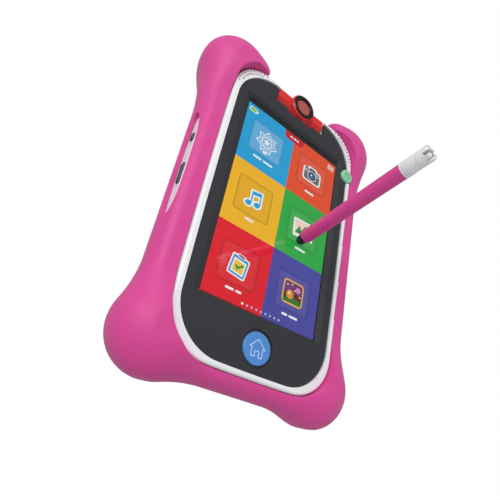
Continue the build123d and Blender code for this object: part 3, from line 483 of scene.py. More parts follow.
def frame_walk(count):
    """Points and outward normals round the raised frame, from the top middle clockwise, in mm."""
    half, low, high = (FRAME_OUTLINE[key] for key in ("half", "low", "high"))
    low_corner, high_corner = FRAME_OUTLINE["low_corner"], FRAME_OUTLINE["high_corner"]
    runs = [
        ("line", (0, high), (half - high_corner, high)),
        ("arc", (half - high_corner, high - high_corner), high_corner, 90, 0),
        ("line", (half, high - high_corner), (half, low + low_corner)),
        ("arc", (half - low_corner, low + low_corner), low_corner, 0, -90),
        ("line", (half - low_corner, low), (-half + low_corner, low)),
        ("arc", (-half + low_corner, low + low_corner), low_corner, -90, -180),
        ("line", (-half, low + low_corner), (-half, high - high_corner)),
        ("arc", (-half + high_corner, high - high_corner), high_corner, 180, 90),
        ("line", (-half + high_corner, high), (0, high)),
    ]
    places, normals = [], []
    for run in runs:
        if run[0] == "line":
            start, end = np.array(run[1], float), np.array(run[2], float)
            length = np.linalg.norm(end - start)
            steps = max(2, int(length / 2.0))
            direction = (end - start) / length
            for i in range(steps):
                places.append(start + (end - start) * i / steps)
                normals.append(np.array((-direction[1], direction[0])))
        else:
            centre, radius, start, end = np.array(run[1], float), run[2], run[3], run[4]
            steps = count
            for i in range(steps):
                turn = math.radians(start + (end - start) * i / steps)
                normal = np.array((math.cos(turn), math.sin(turn)))
                places.append(centre + radius * normal)
                normals.append(normal)
    return np.array(places), np.array(normals)


def bumper_outline(knob, blend_low, blend_high):
    """Outer outline of the bumper seen from the front, in mm, as one closed polygon."""
    points = []
    for side, end in ((1, 1), (1, -1), (-1, -1), (-1, 1)):
        edge, knob_z, blend = ((WAIST_HIGH, KNOB_HIGH_Z, blend_high) if end > 0
                               else (-WAIST_LOW, -KNOB_LOW_Z, blend_low))
        reach = knob + blend
        over_side = WAIST_HALF - KNOB_X + blend
        over_edge = edge - knob_z + blend
        side_drop = math.sqrt(reach ** 2 - over_side ** 2)
        edge_drop = math.sqrt(reach ** 2 - over_edge ** 2)
        side_turn = math.degrees(math.atan2(-side_drop, over_side))
        edge_turn = math.degrees(math.atan2(over_edge, -edge_drop))
        edge_centre = (KNOB_X - edge_drop, edge + blend)
        side_centre = (WAIST_HALF + blend, knob_z - side_drop)
        corner = arc(edge_centre, blend, -90, edge_turn - 180, 16)
        corner += arc((KNOB_X, knob_z), knob, edge_turn, side_turn, 48)
        corner += arc(side_centre, blend, 180 + side_turn, 180, 16)
        corner = [(side * x, end * z) for x, z in corner]
        points += corner if side * end > 0 else corner[::-1]
    return np.array(points)


def ray_reach(place, normal, polygon):
    """Distance from a place along a direction to the polygon."""
    start, end = polygon, np.roll(polygon, -1, axis=0)
    edge = end - start
    across = normal[0] * edge[:, 1] - normal[1] * edge[:, 0]
    offset = start - place
    safe = np.where(np.abs(across) < 1e-9, 1.0, across)
    along = (offset[:, 0] * edge[:, 1] - offset[:, 1] * edge[:, 0]) / safe
    part = (offset[:, 0] * normal[1] - offset[:, 1] * normal[0]) / safe
    hit = (np.abs(across) > 1e-9) & (along > 0) & (part >= -1e-6) & (part <= 1 + 1e-6)
    return along[hit].min()


def outline_distance(places, polygon):
    """Shortest distance from each place to the polygon."""
    start, end = polygon, np.roll(polygon, -1, axis=0)
    edge = end - start
    length = np.maximum((edge ** 2).sum(axis=1), 1e-12)
    offset = places[:, None, :] - start[None, :, :]
    part = np.clip((offset * edge[None, :, :]).sum(axis=2) / length, 0, 1)
    gap = offset - part[:, :, None] * edge[None, :, :]
    return np.sqrt((gap ** 2).sum(axis=2)).min(axis=1)


def knob_swell(places):
    """0 away from the knobs, rising smoothly to 1 over each knob's middle."""
    best = np.zeros(len(places))
    for side in (-1, 1):
        for knob_z in (KNOB_LOW_Z, KNOB_HIGH_Z):
            distance = np.hypot(places[:, 0] - side * KNOB_X, places[:, 1] - knob_z)
            fade = np.clip(1 - distance / KNOB_SWELL, 0, 1)
            best = np.maximum(best, fade * fade * (3 - 2 * fade))
    return np.minimum(1.0, best * 1.18)


def rim_stations(deepest, rounding, flat_count):
    """Distances inside the outline, from the deepest to 0, closer together where the rim curves."""
    ease = min(rounding, 0.92 * deepest)
    flat = np.linspace(deepest, ease, flat_count)
    turns = np.radians(np.linspace(0, 90, 17))[1:]
    return np.concatenate([flat, ease * (1 - np.sin(turns))])


def skin_depths(spots, inset, outline, side_rounding, knob_rounding):
    """Depths of the front and back skin at each spot, in mm."""
    swell = knob_swell(spots)
    rounding = side_rounding + (knob_rounding - side_rounding) * swell
    distance = np.minimum(outline_distance(spots, outline), inset)
    fall = np.clip(1 - distance / rounding, 0, 1)
    round_off = 1 - np.sqrt(np.maximum(0.0, 1 - fall ** 2))
    front = WAIST_FRONT - (WAIST_FRONT - KNOB_FRONT) * swell
    back = WAIST_BACK + (KNOB_BACK - WAIST_BACK) * swell
    return front + (MIDDLE_DEPTH - front) * round_off, back + (MIDDLE_DEPTH - back) * round_off


def bumper_sections(sizes):
    """Cross-sections round the bumper, each a closed ring of (x, depth, z) in mm."""
    gap = sizes.sleeve_gap / MM
    camera_gap = sizes.camera_gap / MM
    roundings = (sizes.side_rounding / MM, sizes.knob_rounding / MM)
    outline = bumper_outline(sizes.knob_radius / MM, sizes.knob_blend_low / MM, sizes.knob_blend_high / MM)
    case = np.array(rounded_box(2 * (CASE_OUTLINE["half"] + gap),
                                CASE_OUTLINE["high"] - CASE_OUTLINE["low"] + 2 * gap,
                                CASE_OUTLINE["low_corner"] + gap, 24,
                                (0, (CASE_OUTLINE["high"] + CASE_OUTLINE["low"]) / 2)))
    places, normals = frame_walk(30)
    keep = ~((places[:, 1] > 0) & (np.abs(places[:, 0]) < camera_gap))
    sections = []
    for place, normal in zip(places[keep], normals[keep]):
        reach = ray_reach(place, normal, outline)
        wall_reach = ray_reach(place, normal, case)
        cover = wall_reach - BACK_LIP
        if place[1] > 0 and abs(place[0]) < camera_gap + END_EASE:
            turn = np.clip((camera_gap + END_EASE - abs(place[0])) / END_EASE, 0, 1)
            reach -= END_DROP * (1 - math.sqrt(1 - turn ** 2))
        inset = rim_stations(reach - gap, max(roundings), 13)
        spots = place + normal * (reach - inset)[:, None]
        front, _ = skin_depths(spots, inset, outline, *roundings)
        inner, eased = place + normal * gap, place + normal * (gap + 0.25)
        ring = [(inner[0], SLEEVE_FRONT, inner[1]), (inner[0], front[0] + 0.6, inner[1]),
                (eased[0], front[0] + 0.16, eased[1])]
        ring += [(spot[0], depth, spot[1]) for spot, depth in zip(spots[1:], front[1:])]
        inset = rim_stations(reach - cover - 0.5, max(roundings), 9)
        spots = place + normal * (reach - inset)[:, None]
        _, back = skin_depths(spots, inset, outline, *roundings)
        ring += [(spot[0], depth, spot[1]) for spot, depth in list(zip(spots, back))[-2::-1]]
        rim = place + normal * cover
        ring += [(rim[0], back[0] - 0.5, rim[1]), (rim[0], SLEEVE_BACK, rim[1])]
        hollow = arc((wall_reach - BACK_EDGE_ROUNDING, SLEEVE_BACK - BACK_EDGE_ROUNDING), BACK_EDGE_ROUNDING,
                     90, 0, 5)
        hollow += arc((wall_reach - SHOULDER_ROUNDING, SLEEVE_FRONT + SHOULDER_ROUNDING), SHOULDER_ROUNDING,
                      0, -90, 4)
        ring += [(place[0] + normal[0] * out, depth, place[1] + normal[1] * out) for out, depth in hollow]
        sections.append(ring)
    return sections


def shrink_ring(ring, amount):
    """The ring with each point moved inwards along its own corner's middle, in its section plane."""
    points = np.array(ring)
    along = points[:, [0, 2]] - points[0, [0, 2]]
    direction = along[np.argmax(np.hypot(along[:, 0], along[:, 1]))]
    direction = direction / np.linalg.norm(direction)
    flat = np.stack([along @ direction, points[:, 1]], axis=1)
    before = flat - np.roll(flat, 1, axis=0)
    after = np.roll(flat, -1, axis=0) - flat
    before /= np.maximum(np.linalg.norm(before, axis=1), 1e-9)[:, None]
    after /= np.maximum(np.linalg.norm(after, axis=1), 1e-9)[:, None]
    area = 0.5 * np.sum(flat[:, 0] * np.roll(flat[:, 1], -1) - np.roll(flat[:, 0], -1) * flat[:, 1])
    inward = np.stack([-(before + after)[:, 1], (before + after)[:, 0]], axis=1)
    inward /= np.maximum(np.linalg.norm(inward, axis=1), 1e-9)[:, None]
    inward *= math.copysign(1.0, area)
    moved = flat + inward * amount
    result = points.copy()
    result[:, 0] += (moved - flat)[:, 0] * direction[0]
    result[:, 2] += (moved - flat)[:, 0] * direction[1]
    result[:, 1] = moved[:, 1]
    return result


def bumper_mesh(sizes):
    """Closed skin through the bumper's sections, with softly rounded ends at the camera gap."""
    rings = [np.array(ring) for ring in bumper_sections(sizes)]
    starts, ends = [], []
    for step in (1, 2, 3):
        part = step / 3
        inset = END_RADIUS * (1 - math.sqrt(1 - (0.97 * part) ** 2))
        travel = END_RADIUS * part
        first, last = shrink_ring(rings[0], inset), shrink_ring(rings[-1], inset)
        first[:, 0] -= travel
        last[:, 0] += travel
        starts.insert(0, first)
        ends.append(last)
    rings = starts + rings + ends
    skin = []
    for ring in rings:
        points = [on_screen(x, depth, z) for x, depth, z in ring]
        skin.append([(x, y, max(0.0, z)) for x, y, z in points])
    return closed_mesh("bumper_skin", skin)


SLOT_REACH = (50.0, 60.0)
SLOT_DEPTHS = (1.5, 9.2)
SLOT_HALF = 30.0
SLOT_MIDDLE = 1.0
SLOT_STEPS = 48


def slot_cutter(side):
    """Bar with pointed round ends that cuts the opening over the side keys."""
    outline = []
    middle_depth = (SLOT_DEPTHS[0] + SLOT_DEPTHS[1]) / 2
    half_depth = (SLOT_DEPTHS[1] - SLOT_DEPTHS[0]) / 2
    for i in range(SLOT_STEPS):
        turn = 2 * math.pi * i / SLOT_STEPS
        across = math.copysign(abs(math.sin(turn)) ** 0.75, math.sin(turn))
        along = math.copysign(abs(math.cos(turn)) ** 0.55, math.cos(turn))
        outline.append((middle_depth + half_depth * across, SLOT_HALF * along + SLOT_MIDDLE))
    return closed_mesh("slot_cutter", [[on_screen(side * x, depth, z) for depth, z in outline]
                                       for x in SLOT_REACH])


def apply_modifiers(piece):
    """Turns an object's modifiers into its plain mesh."""
    graph = bpy.context.evaluated_depsgraph_get()
    baked = bpy.data.meshes.new_from_object(piece.evaluated_get(graph))
    piece.modifiers.clear()
    old = piece.data
    piece.data = baked
    bpy.data.meshes.remove(old)


class HANDHELD_OT_bumper(bpy.types.Operator):
    """Makes the soft bumper with its knobs, camera gap and side slots"""

    bl_idname = "handheld.bumper"
    bl_label = "Bumper"

    def execute(self, context):
        sizes = context.scene.handheld_sizes
        piece = object_from("soft_bumper", bumper_mesh(sizes), finish("bumper_silicone"))
        cutters = []
        for side in (-1, 1):
            cutter = bpy.data.objects.new("slot_cutter", slot_cutter(side))
            context.scene.collection.objects.link(cutter)
            cutters.append(cutter)
            cut = piece.modifiers.new("Slot", "BOOLEAN")
            cut.operation = "DIFFERENCE"
            cut.solver = "EXACT"
            cut.object = cutter
        apply_modifiers(piece)
        for cutter in cutters:
            bpy.data.objects.remove(cutter)
        smooth(piece.data, 38)
        settle(piece, MAIN_BODY, ["bumper"])
        return {"FINISHED"}


# ------------------------------------------------------------ screen picture
def linear(red, green, blue):
    """Linear colour of a display colour given from 0 to 255."""
    parts = []
    for value in (red, green, blue):
        part = value / 255
        parts.append(part / 12.92 if part <= 0.04045 else ((part + 0.055) / 1.055) ** 2.4)
    return (*parts, 1.0)


PAINT = {
    "blue": linear(27, 168, 224),
    "orange": linear(240, 80, 35),
    "yellow": linear(253, 190, 30),
    "green": linear(45, 178, 70),
    "red": linear(235, 25, 40),
    "purple": linear(78, 76, 166),
    "white": linear(250, 250, 250),
    "black": linear(14, 14, 16),
    "grey": linear(110, 112, 118),
    "dark": linear(60, 60, 66),
}


def blended(first, second, part):
    """Mix of two paints."""
    return tuple(first[i] * (1 - part) + second[i] * part for i in range(4))


PICTURE_DEPTH = 0.12
PICTURE_BACK = 0.15
LEVEL_STEP = 0.012


class Picture:
    """Thin coloured shapes on the screen, laid out in mm from the picture's lower left corner."""

    def __init__(self, width, height):
        self.width = width
        self.height = height
        self.mesh = bmesh.new()
        self.tint = self.mesh.loops.layers.float_color.new("tint")

    def slab(self, outline, level, paint, back=PICTURE_BACK):
        """Closed thin prism; a higher level lies further forward."""
        depth = PICTURE_DEPTH - level * LEVEL_STEP
        front_ring, back_ring = [], []
        for x, z in outline:
            for ring, place in ((front_ring, depth), (back_ring, back)):
                point = on_screen(x - self.width / 2, place, z - self.height / 2)
                ring.append(self.mesh.verts.new(point))
        faces = [self.mesh.faces.new(front_ring), self.mesh.faces.new(back_ring[::-1])]
        count = len(outline)
        for i in range(count):
            j = (i + 1) % count
            faces.append(self.mesh.faces.new((front_ring[j], front_ring[i], back_ring[i], back_ring[j])))
        for face in faces:
            for corner in face.loops:
                corner[self.tint] = paint

    def box(self, x, z, width, height, level, paint, radius=0.0):
        """Box by its centre and size, with rounded corners if a radius is given."""
        if radius:
            self.slab(rounded_box(width, height, radius, 5, (x, z)), level, paint)
        else:
            half_x, half_z = width / 2, height / 2
            self.slab([(x - half_x, z - half_z), (x + half_x, z - half_z), (x + half_x, z + half_z),
                       (x - half_x, z + half_z)], level, paint)

    def disc(self, x, z, radius, level, paint, steps=28):
        """Round spot."""
        self.slab(arc((x, z), radius, 0, 360 * (steps - 1) / steps, steps - 1), level, paint)


def turned(points, centre, degrees, scale=1.0):
    """Points turned and scaled about the origin, then moved to a centre."""
    turn = math.radians(degrees)
    return [(centre[0] + scale * (x * math.cos(turn) - z * math.sin(turn)),
             centre[1] + scale * (x * math.sin(turn) + z * math.cos(turn))) for x, z in points]


def star_outline(tips, outer, inner, start=90.0):
    """Star with the given number of tips."""
    points = []
    for i in range(2 * tips):
        radius = outer if i % 2 == 0 else inner
        turn = math.radians(start + 180.0 * i / tips)
        points.append((radius * math.cos(turn), radius * math.sin(turn)))
    return points


def draw_star_badge(picture, x, z):
    """White-edged badge with a plain star."""
    pale = blended(PAINT["blue"], PAINT["white"], 0.45)
    picture.slab(turned(star_outline(7, 7.2, 4.7), (x, z), 0), 4, PAINT["white"])
    picture.slab(turned(star_outline(7, 6.1, 4.1), (x, z), 0), 5, PAINT["blue"])
    picture.slab(turned(star_outline(7, 5.3, 3.7), (x, z), 0), 6, pale)
    picture.disc(x, z, 3.4, 7, PAINT["white"])
    picture.disc(x, z, 2.9, 8, blended(PAINT["blue"], PAINT["white"], 0.2))
    picture.slab(turned(star_outline(5, 2.5, 1.1), (x, z), 0), 9, PAINT["white"])
    picture.box(x, z - 6.6, 2.6, 1.6, 7, PAINT["white"], 0.5)


def draw_camera(picture, x, z):
    """Small grey camera with a white edge."""
    for grow, level, paint in ((0.9, 4, PAINT["white"]), (0.0, 5, PAINT["grey"])):
        picture.box(x, z - 0.6, 11.4 + 2 * grow, 7.4 + 2 * grow, level, paint, 1.3 + grow * 0.5)
        hump = [(-2.9 - grow, 2.0), (2.9 + grow, 2.0), (1.9 + grow, 4.4 + grow), (-1.9 - grow, 4.4 + grow)]
        picture.slab(turned(hump, (x, z), 0), level, paint)
    picture.box(x - 4.6, z + 3.4, 1.9, 0.9, 5, PAINT["grey"], 0.3)
    picture.box(x, z + 1.5, 11.2, 1.3, 6, blended(PAINT["grey"], PAINT["white"], 0.45))
    picture.box(x, z + 3.0, 3.0, 1.0, 6, PAINT["dark"], 0.3)
    picture.disc(x, z - 0.6, 3.3, 7, blended(PAINT["grey"], PAINT["white"], 0.7))
    picture.disc(x, z - 0.6, 2.7, 8, PAINT["dark"])
    picture.disc(x, z - 0.6, 1.7, 9, blended(PAINT["dark"], PAINT["blue"], 0.35))
    picture.disc(x - 0.5, z - 0.1, 0.55, 10, PAINT["white"])


def draw_notes(picture, x, z):
    """Two joined blue notes with a white edge."""
    for grow, level, paint in ((0.85, 4, PAINT["white"]), (0.0, 5, PAINT["blue"])):
        for head_x, head_z in ((-2.7, -3.2), (2.3, -2.4)):
            head = [(px * 1.25, pz) for px, pz in arc((0, 0), 1.45 + grow, 0, 342, 19)]
            picture.slab(turned(head, (x + head_x, z + head_z), 18), level, paint)
            stem_x = x + head_x + 1.45
            picture.box(stem_x, z + head_z + 3.3, 0.8 + 2 * grow, 6.6 + grow, level, paint)
        beam = [(-1.65 - grow, 2.1 - grow), (4.15 + grow, 3.1 - grow), (4.15 + grow, 5.2 + grow),
                (-1.65 - grow, 4.1 + grow)]
        picture.slab(turned(beam, (x, z), 0), level, paint)


def draw_photo(picture, x, z):
    """White-edged picture of two green hills."""
    picture.slab(turned(rounded_box(13.6, 10.6, 0.7), (x, z), 4), 4, PAINT["white"])
    picture.slab(turned(rounded_box(11.4, 8.2, 0.4), (x, z + 0.3), 4), 5, linear(250, 222, 205))
    hills = (([(-5.4, -3.6), (-0.2, -3.6), (-2.6, 1.2)], linear(35, 150, 60)),
             ([(-3.0, -3.6), (5.5, -3.6), (1.6, 2.6)], linear(25, 125, 50)))
    for level, (hill, paint) in enumerate(hills):
        picture.slab(turned(hill, (x, z + 0.3), 4), 6 + level, paint)
    picture.disc(x + 3.4, z + 2.9, 0.9, 6, linear(255, 205, 70))


def draw_clipboard(picture, x, z):
    """Tilted clipboard with a ticked sheet."""
    tilt = -8
    picture.slab(turned(rounded_box(10.0, 10.6, 1.0), (x, z - 0.5), tilt), 4, PAINT["white"])
    picture.slab(turned(rounded_box(8.6, 9.2, 0.7), (x, z - 0.5), tilt), 5, linear(40, 150, 205))
    picture.slab(turned(rounded_box(7.0, 7.0, 0.3), (x, z - 0.7), tilt), 6, PAINT["white"])
    picture.slab(turned(rounded_box(5.6, 5.4, 0.3), (x, z - 0.8), tilt), 7, linear(250, 205, 70))
    clip = rounded_box(4.6, 1.8, 0.6)
    picture.slab(turned(clip, (x + 0.7, z + 4.6), tilt), 8, PAINT["white"])
    picture.slab(turned(rounded_box(3.6, 1.1, 0.4), (x + 0.7, z + 4.6), tilt), 9, PAINT["grey"])
    tick = [(-2.1, 0.1), (-1.3, 0.9), (-0.5, 0.1), (1.9, 2.4), (2.6, 1.6), (-0.5, -1.6)]
    picture.slab(turned(tick, (x, z - 0.9), tilt), 9, linear(40, 160, 70))


def draw_scene(picture, x, z):
    """Plain framed landscape with a ball, for the last tile."""
    picture.box(x, z, 13.0, 12.4, 4, linear(250, 190, 60), 2.0)
    picture.box(x, z, 11.4, 10.8, 5, linear(120, 60, 130), 1.4)
    hill = [(-5.7, -5.4), (5.7, -5.4), (5.7, -1.2), (1.5, 0.6), (-2.0, -1.4), (-5.7, 0.4)]
    meadow = [(-5.7, -5.4), (5.7, -5.4), (5.7, -3.2), (0.0, -2.2), (-5.7, -3.4)]
    picture.slab(turned(hill, (x, z), 0), 6, linear(95, 55, 35))
    picture.slab(turned(meadow, (x, z), 0), 7, linear(60, 120, 50))
    picture.disc(x - 1.8, z - 1.2, 2.3, 8, linear(235, 150, 60))
    picture.disc(x - 2.3, z - 0.6, 0.9, 9, linear(255, 215, 160))
    picture.disc(x + 2.9, z + 2.4, 1.5, 8, linear(235, 130, 200))
    for spot_x, spot_z in ((-4.0, 3.4), (-1.2, 4.2), (1.0, 1.6), (4.4, -0.6)):
        picture.disc(x + spot_x, z + spot_z, 0.45, 8, linear(250, 230, 140))


TILES = [
    ("blue", 0, 0, draw_star_badge, (5.4, 6.2), 0.274),
    ("orange", 1, 0, draw_camera, (6.6,), 0.274),
    ("yellow", 0, 1, draw_notes, (5.2,), 0.607),
    ("green", 1, 1, draw_photo, (7.0,), 0.607),
    ("red", 0, 2, draw_clipboard, (4.6, 3.2), 0.943),
    ("purple", 1, 2, draw_scene, (3.6, 5.4), 0.943),
]
DIVIDER = 0.497
BOX_COLUMNS = ((0.077, 0.401), (0.580, 0.907))
BOX_ROWS = ((0.073, 0.252), (0.404, 0.589), (0.744, 0.922))


def icon_box(column, row, width, height):
    """Centre and size of an icon's box, in mm from the picture's lower left corner."""
    left, right = BOX_COLUMNS[column]
    top, bottom = BOX_ROWS[row]
    return ((left + right) / 2 * width, (1 - (top + bottom) / 2) * height,
            (right - left) * width, (bottom - top) * height)


BOX_TONES = {"plain": (0.46, 0.03), "yellow": (0.50, -0.10), "blue": (0.34, 0.14), "red": (0.42, 0.02)}


def draw_tiles(picture):
    """Six coloured tiles, each with an icon in a box and bars where its name would stand."""
    width, height = picture.width, picture.height
    for paint, column, row, draw_icon, bars, label in TILES:
        left, right = (0, DIVIDER * width) if column == 0 else (DIVIDER * width, width)
        top, bottom = height * (1 - row / 3), height * (1 - (row + 1) / 3)
        picture.box((left + right) / 2, (top + bottom) / 2, right - left, top - bottom, 1, PAINT[paint])
        x, z, box_width, box_height = icon_box(column, row, width, height)
        rim, inner = BOX_TONES.get(paint, BOX_TONES["plain"])
        shade = blended(PAINT[paint], PAINT["black"], rim)
        pale = blended(PAINT[paint], PAINT["white" if inner > 0 else "black"], abs(inner))
        picture.box(x, z, box_width, box_height, 2, shade, 1.8)
        picture.box(x, z, box_width - 0.8, box_height - 0.8, 3, pale, 1.45)
        draw_icon(picture, x, z)
        space = 0.9
        cursor = x - (sum(bars) + space * (len(bars) - 1)) / 2
        for bar in bars:
            picture.box(cursor + bar / 2, (1 - label) * height, bar, 1.15, 4, PAINT["white"], 0.5)
            cursor += bar + space


def draw_status(picture):
    """Top tab, battery sign and grid sign."""
    width, height = picture.width, picture.height
    middle = 0.495 * width
    tab = [(middle - 7.0, height), (middle - 6.2, height - 4.2), (middle - 5.2, height - 5.1),
           (middle + 5.2, height - 5.1), (middle + 6.2, height - 4.2), (middle + 7.0, height)]
    picture.slab(tab[::-1], 5, linear(205, 20, 35))
    for offset in (-2.2, 0.2, 2.3):
        picture.box(middle + offset, height - 2.5, 1.7, 1.1, 6, PAINT["white"], 0.35)
    battery_x, battery_z = 0.054 * width, (1 - 0.032) * height
    picture.box(battery_x, battery_z, 4.9, 2.9, 4, PAINT["white"], 0.7)
    picture.box(battery_x, battery_z, 4.0, 2.0, 5, linear(150, 200, 60), 0.4)
    picture.box(battery_x + 2.8, battery_z, 0.7, 1.3, 4, PAINT["white"], 0.2)
    for column in range(3):
        for row in range(3):
            x, z = 0.94 * width + (column - 1) * 1.65, (1 - 0.033) * height + (row - 1) * 1.15
            picture.box(x, z, 1.2, 0.8, 4, PAINT["white"], 0.15)


def picture_mesh(sizes):
    """The display: its dark slab and the coloured picture on it."""
    picture = Picture(sizes.image_width / MM, sizes.image_height / MM)
    draw_tiles(picture)
    draw_status(picture)
    slab = [((x - DISPLAY_LOW.x) / MM, (z - DISPLAY_LOW.z) / MM)
            for x, z in ((DISPLAY_LOW.x, DISPLAY_LOW.z), (DISPLAY_HIGH.x, DISPLAY_LOW.z),
                         (DISPLAY_HIGH.x, DISPLAY_HIGH.z), (DISPLAY_LOW.x, DISPLAY_HIGH.z))]
    offset_x = DISPLAY_LOW.x / MM + picture.width / 2
    offset_z = (DISPLAY_LOW.z - SCREEN_Z) / MM + picture.height / 2
    slab = [(x + offset_x, z + offset_z) for x, z in slab]
    picture.slab(slab, -3, PAINT["black"], (DISPLAY_HIGH.y - SCREEN_Y) / MM)
    bmesh.ops.recalc_face_normals(picture.mesh, faces=picture.mesh.faces)
    return plain_mesh("screen_picture", picture.mesh)


# --------------------------------------------------------- repeated markings
def marking_tree(name):
    """Geometry Nodes tree with a material input, ready for its own sizes."""
    tree = bpy.data.node_groups.new(name, "GeometryNodeTree")
    tree.interface.new_socket("Geometry", in_out="INPUT", socket_type="NodeSocketGeometry")
    tree.interface.new_socket("Geometry", in_out="OUTPUT", socket_type="NodeSocketGeometry")
    tree.interface.new_socket("Material", in_out="INPUT", socket_type="NodeSocketMaterial")
    return tree


def size_input(tree, name, default):
    """Named length input of a tree."""
    socket = tree.interface.new_socket(name, in_out="INPUT", socket_type="NodeSocketFloat")
    socket.default_value = default
    return socket


def end_tree(tree, given, place):
    """Ends a tree: its instances as a plain mesh in the given material."""
    add, link = tree.nodes.new, tree.links.new
    plain = add("GeometryNodeRealizeInstances")
    link(place.outputs["Instances"], plain.inputs["Geometry"])
    paint = add("GeometryNodeSetMaterial")
    link(plain.outputs["Geometry"], paint.inputs["Geometry"])
    link(given.outputs["Material"], paint.inputs["Material"])
    link(paint.outputs["Geometry"], add("NodeGroupOutput").inputs["Geometry"])
    return tree


def stitch_tree():
    """Short dashes along a rounded rectangle, laid flat, for the boxes round the icons."""
    tree = marking_tree("Stitch Row")
    defaults = (("Width", 0.02), ("Height", 0.02), ("Corner", 0.0013), ("Pitch", 0.0009), ("Dash", 0.0005),
                ("Thickness", 0.0003), ("Depth", 0.00004))
    for name, default in defaults:
        size_input(tree, name, default)
    add, link = tree.nodes.new, tree.links.new
    given = add("NodeGroupInput")
    outline = add("GeometryNodeCurvePrimitiveQuadrilateral")
    link(given.outputs["Width"], outline.inputs["Width"])
    link(given.outputs["Height"], outline.inputs["Height"])
    corner = add("GeometryNodeFilletCurve")
    corner.mode = "POLY"
    corner.inputs["Count"].default_value = 6
    link(outline.outputs[0], corner.inputs["Curve"])
    link(given.outputs["Corner"], corner.inputs["Radius"])
    along = add("GeometryNodeCurveToPoints")
    along.mode = "LENGTH"
    link(corner.outputs[0], along.inputs["Curve"])
    link(given.outputs["Pitch"], along.inputs["Length"])
    dash = add("GeometryNodeMeshCube")
    size = add("ShaderNodeCombineXYZ")
    link(given.outputs["Thickness"], size.inputs[0])
    link(given.outputs["Depth"], size.inputs[1])
    link(given.outputs["Dash"], size.inputs[2])
    link(size.outputs[0], dash.inputs["Size"])
    place = add("GeometryNodeInstanceOnPoints")
    link(along.outputs["Points"], place.inputs["Points"])
    link(dash.outputs["Mesh"], place.inputs["Instance"])
    link(along.outputs["Rotation"], place.inputs["Rotation"])
    return end_tree(tree, given, place)


def dots_tree():
    """Row of small round dots."""
    tree = marking_tree("Dot Row")
    for name, default in (("Radius", 0.0005), ("Pitch", 0.0025), ("Depth", 0.00004)):
        size_input(tree, name, default)
    count = tree.interface.new_socket("Count", in_out="INPUT", socket_type="NodeSocketInt")
    count.default_value = 9
    add, link = tree.nodes.new, tree.links.new
    given = add("NodeGroupInput")
    line = add("GeometryNodeMeshLine")
    line.mode = "OFFSET"
    link(given.outputs["Count"], line.inputs["Count"])
    step = add("ShaderNodeCombineXYZ")
    link(given.outputs["Pitch"], step.inputs[0])
    link(step.outputs[0], line.inputs["Offset"])
    dot = add("GeometryNodeMeshCylinder")
    dot.inputs["Vertices"].default_value = 20
    link(given.outputs["Radius"], dot.inputs["Radius"])
    link(given.outputs["Depth"], dot.inputs["Depth"])
    turn = add("GeometryNodeTransform")
    turn.inputs["Rotation"].default_value = (math.pi / 2, 0, 0)
    link(dot.outputs["Mesh"], turn.inputs["Geometry"])
    place = add("GeometryNodeInstanceOnPoints")
    link(line.outputs["Mesh"], place.inputs["Points"])
    link(turn.outputs["Geometry"], place.inputs["Instance"])
    return end_tree(tree, given, place)


def perforation_tree():
    """Arc of small dark discs just inside the mouths of a row of speaker holes: painted shade that stands in
    for the darkness inside the holes.
    """
    tree = marking_tree("Perforation Row")
    defaults = (("Arc Radius", 0.0166), ("Start", 0.07), ("Sweep", 1.43), ("Radius", 0.0003),
                ("Depth", 0.0002))
    for name, default in defaults:
        size_input(tree, name, default)
    count = tree.interface.new_socket("Count", in_out="INPUT", socket_type="NodeSocketInt")
    count.default_value = 11
    add, link = tree.nodes.new, tree.links.new
    given = add("NodeGroupInput")
    arc_line = add("GeometryNodeCurveArc")
    for name, source in (("Resolution", "Count"), ("Radius", "Arc Radius"), ("Start Angle", "Start"),
                         ("Sweep Angle", "Sweep")):
        link(given.outputs[source], arc_line.inputs[name])
    disc = add("GeometryNodeMeshCylinder")
    disc.inputs["Vertices"].default_value = 16
    link(given.outputs["Radius"], disc.inputs["Radius"])
    link(given.outputs["Depth"], disc.inputs["Depth"])
    place = add("GeometryNodeInstanceOnPoints")
    link(arc_line.outputs["Curve"], place.inputs["Points"])
    link(disc.outputs["Mesh"], place.inputs["Instance"])
    return end_tree(tree, given, place)


def run_tree(tree, material, **values):
    """Runs a tree once on an empty mesh and returns the plain mesh that it makes."""
    holder = bpy.data.objects.new("holder", bpy.data.meshes.new("holder"))
    bpy.context.scene.collection.objects.link(holder)
    modifier = holder.modifiers.new("Nodes", "NODES")
    modifier.node_group = tree
    sockets = {item.name: item.identifier for item in tree.interface.items_tree
               if item.item_type == "SOCKET" and item.in_out == "INPUT"}
    modifier[sockets["Material"]] = material
    for name, value in values.items():
        modifier[sockets[name.replace("_", " ")]] = value
    graph = bpy.context.evaluated_depsgraph_get()
    mesh = bpy.data.meshes.new_from_object(holder.evaluated_get(graph))
    bpy.data.objects.remove(holder)
    return mesh


def joined(name, meshes, shifts, material):
    """One piece from several meshes, each moved by its shift."""
    whole = bmesh.new()
    for mesh, shift in zip(meshes, shifts):
        mesh.transform(Matrix.Translation(shift))
        whole.from_mesh(mesh)
    return object_from(name, plain_mesh(name, whole), material)


def tinted(mesh, paint):
    """Stores one paint on every corner of a mesh."""
    layer = mesh.attributes.new("tint", "FLOAT_COLOR", "CORNER")
    layer.data.foreach_set("color", list(paint) * len(mesh.loops))
    return mesh


UPRIGHT = Matrix.Rotation(math.pi / 2, 4, "X")
# Rows of dark discs set in the speaker holes as painted shade, standing in for the darkness inside the
# holes.
PERFORATION_ROWS = ((16.6, 4.0, 86.0), (14.9, 13.0, 74.0))
PERFORATION_COUNT = 11
PERFORATION_X = 25.5
PERFORATION_RISE = 58.8
PERFORATION_Y = -10.13
PERFORATION_DOT = 0.4


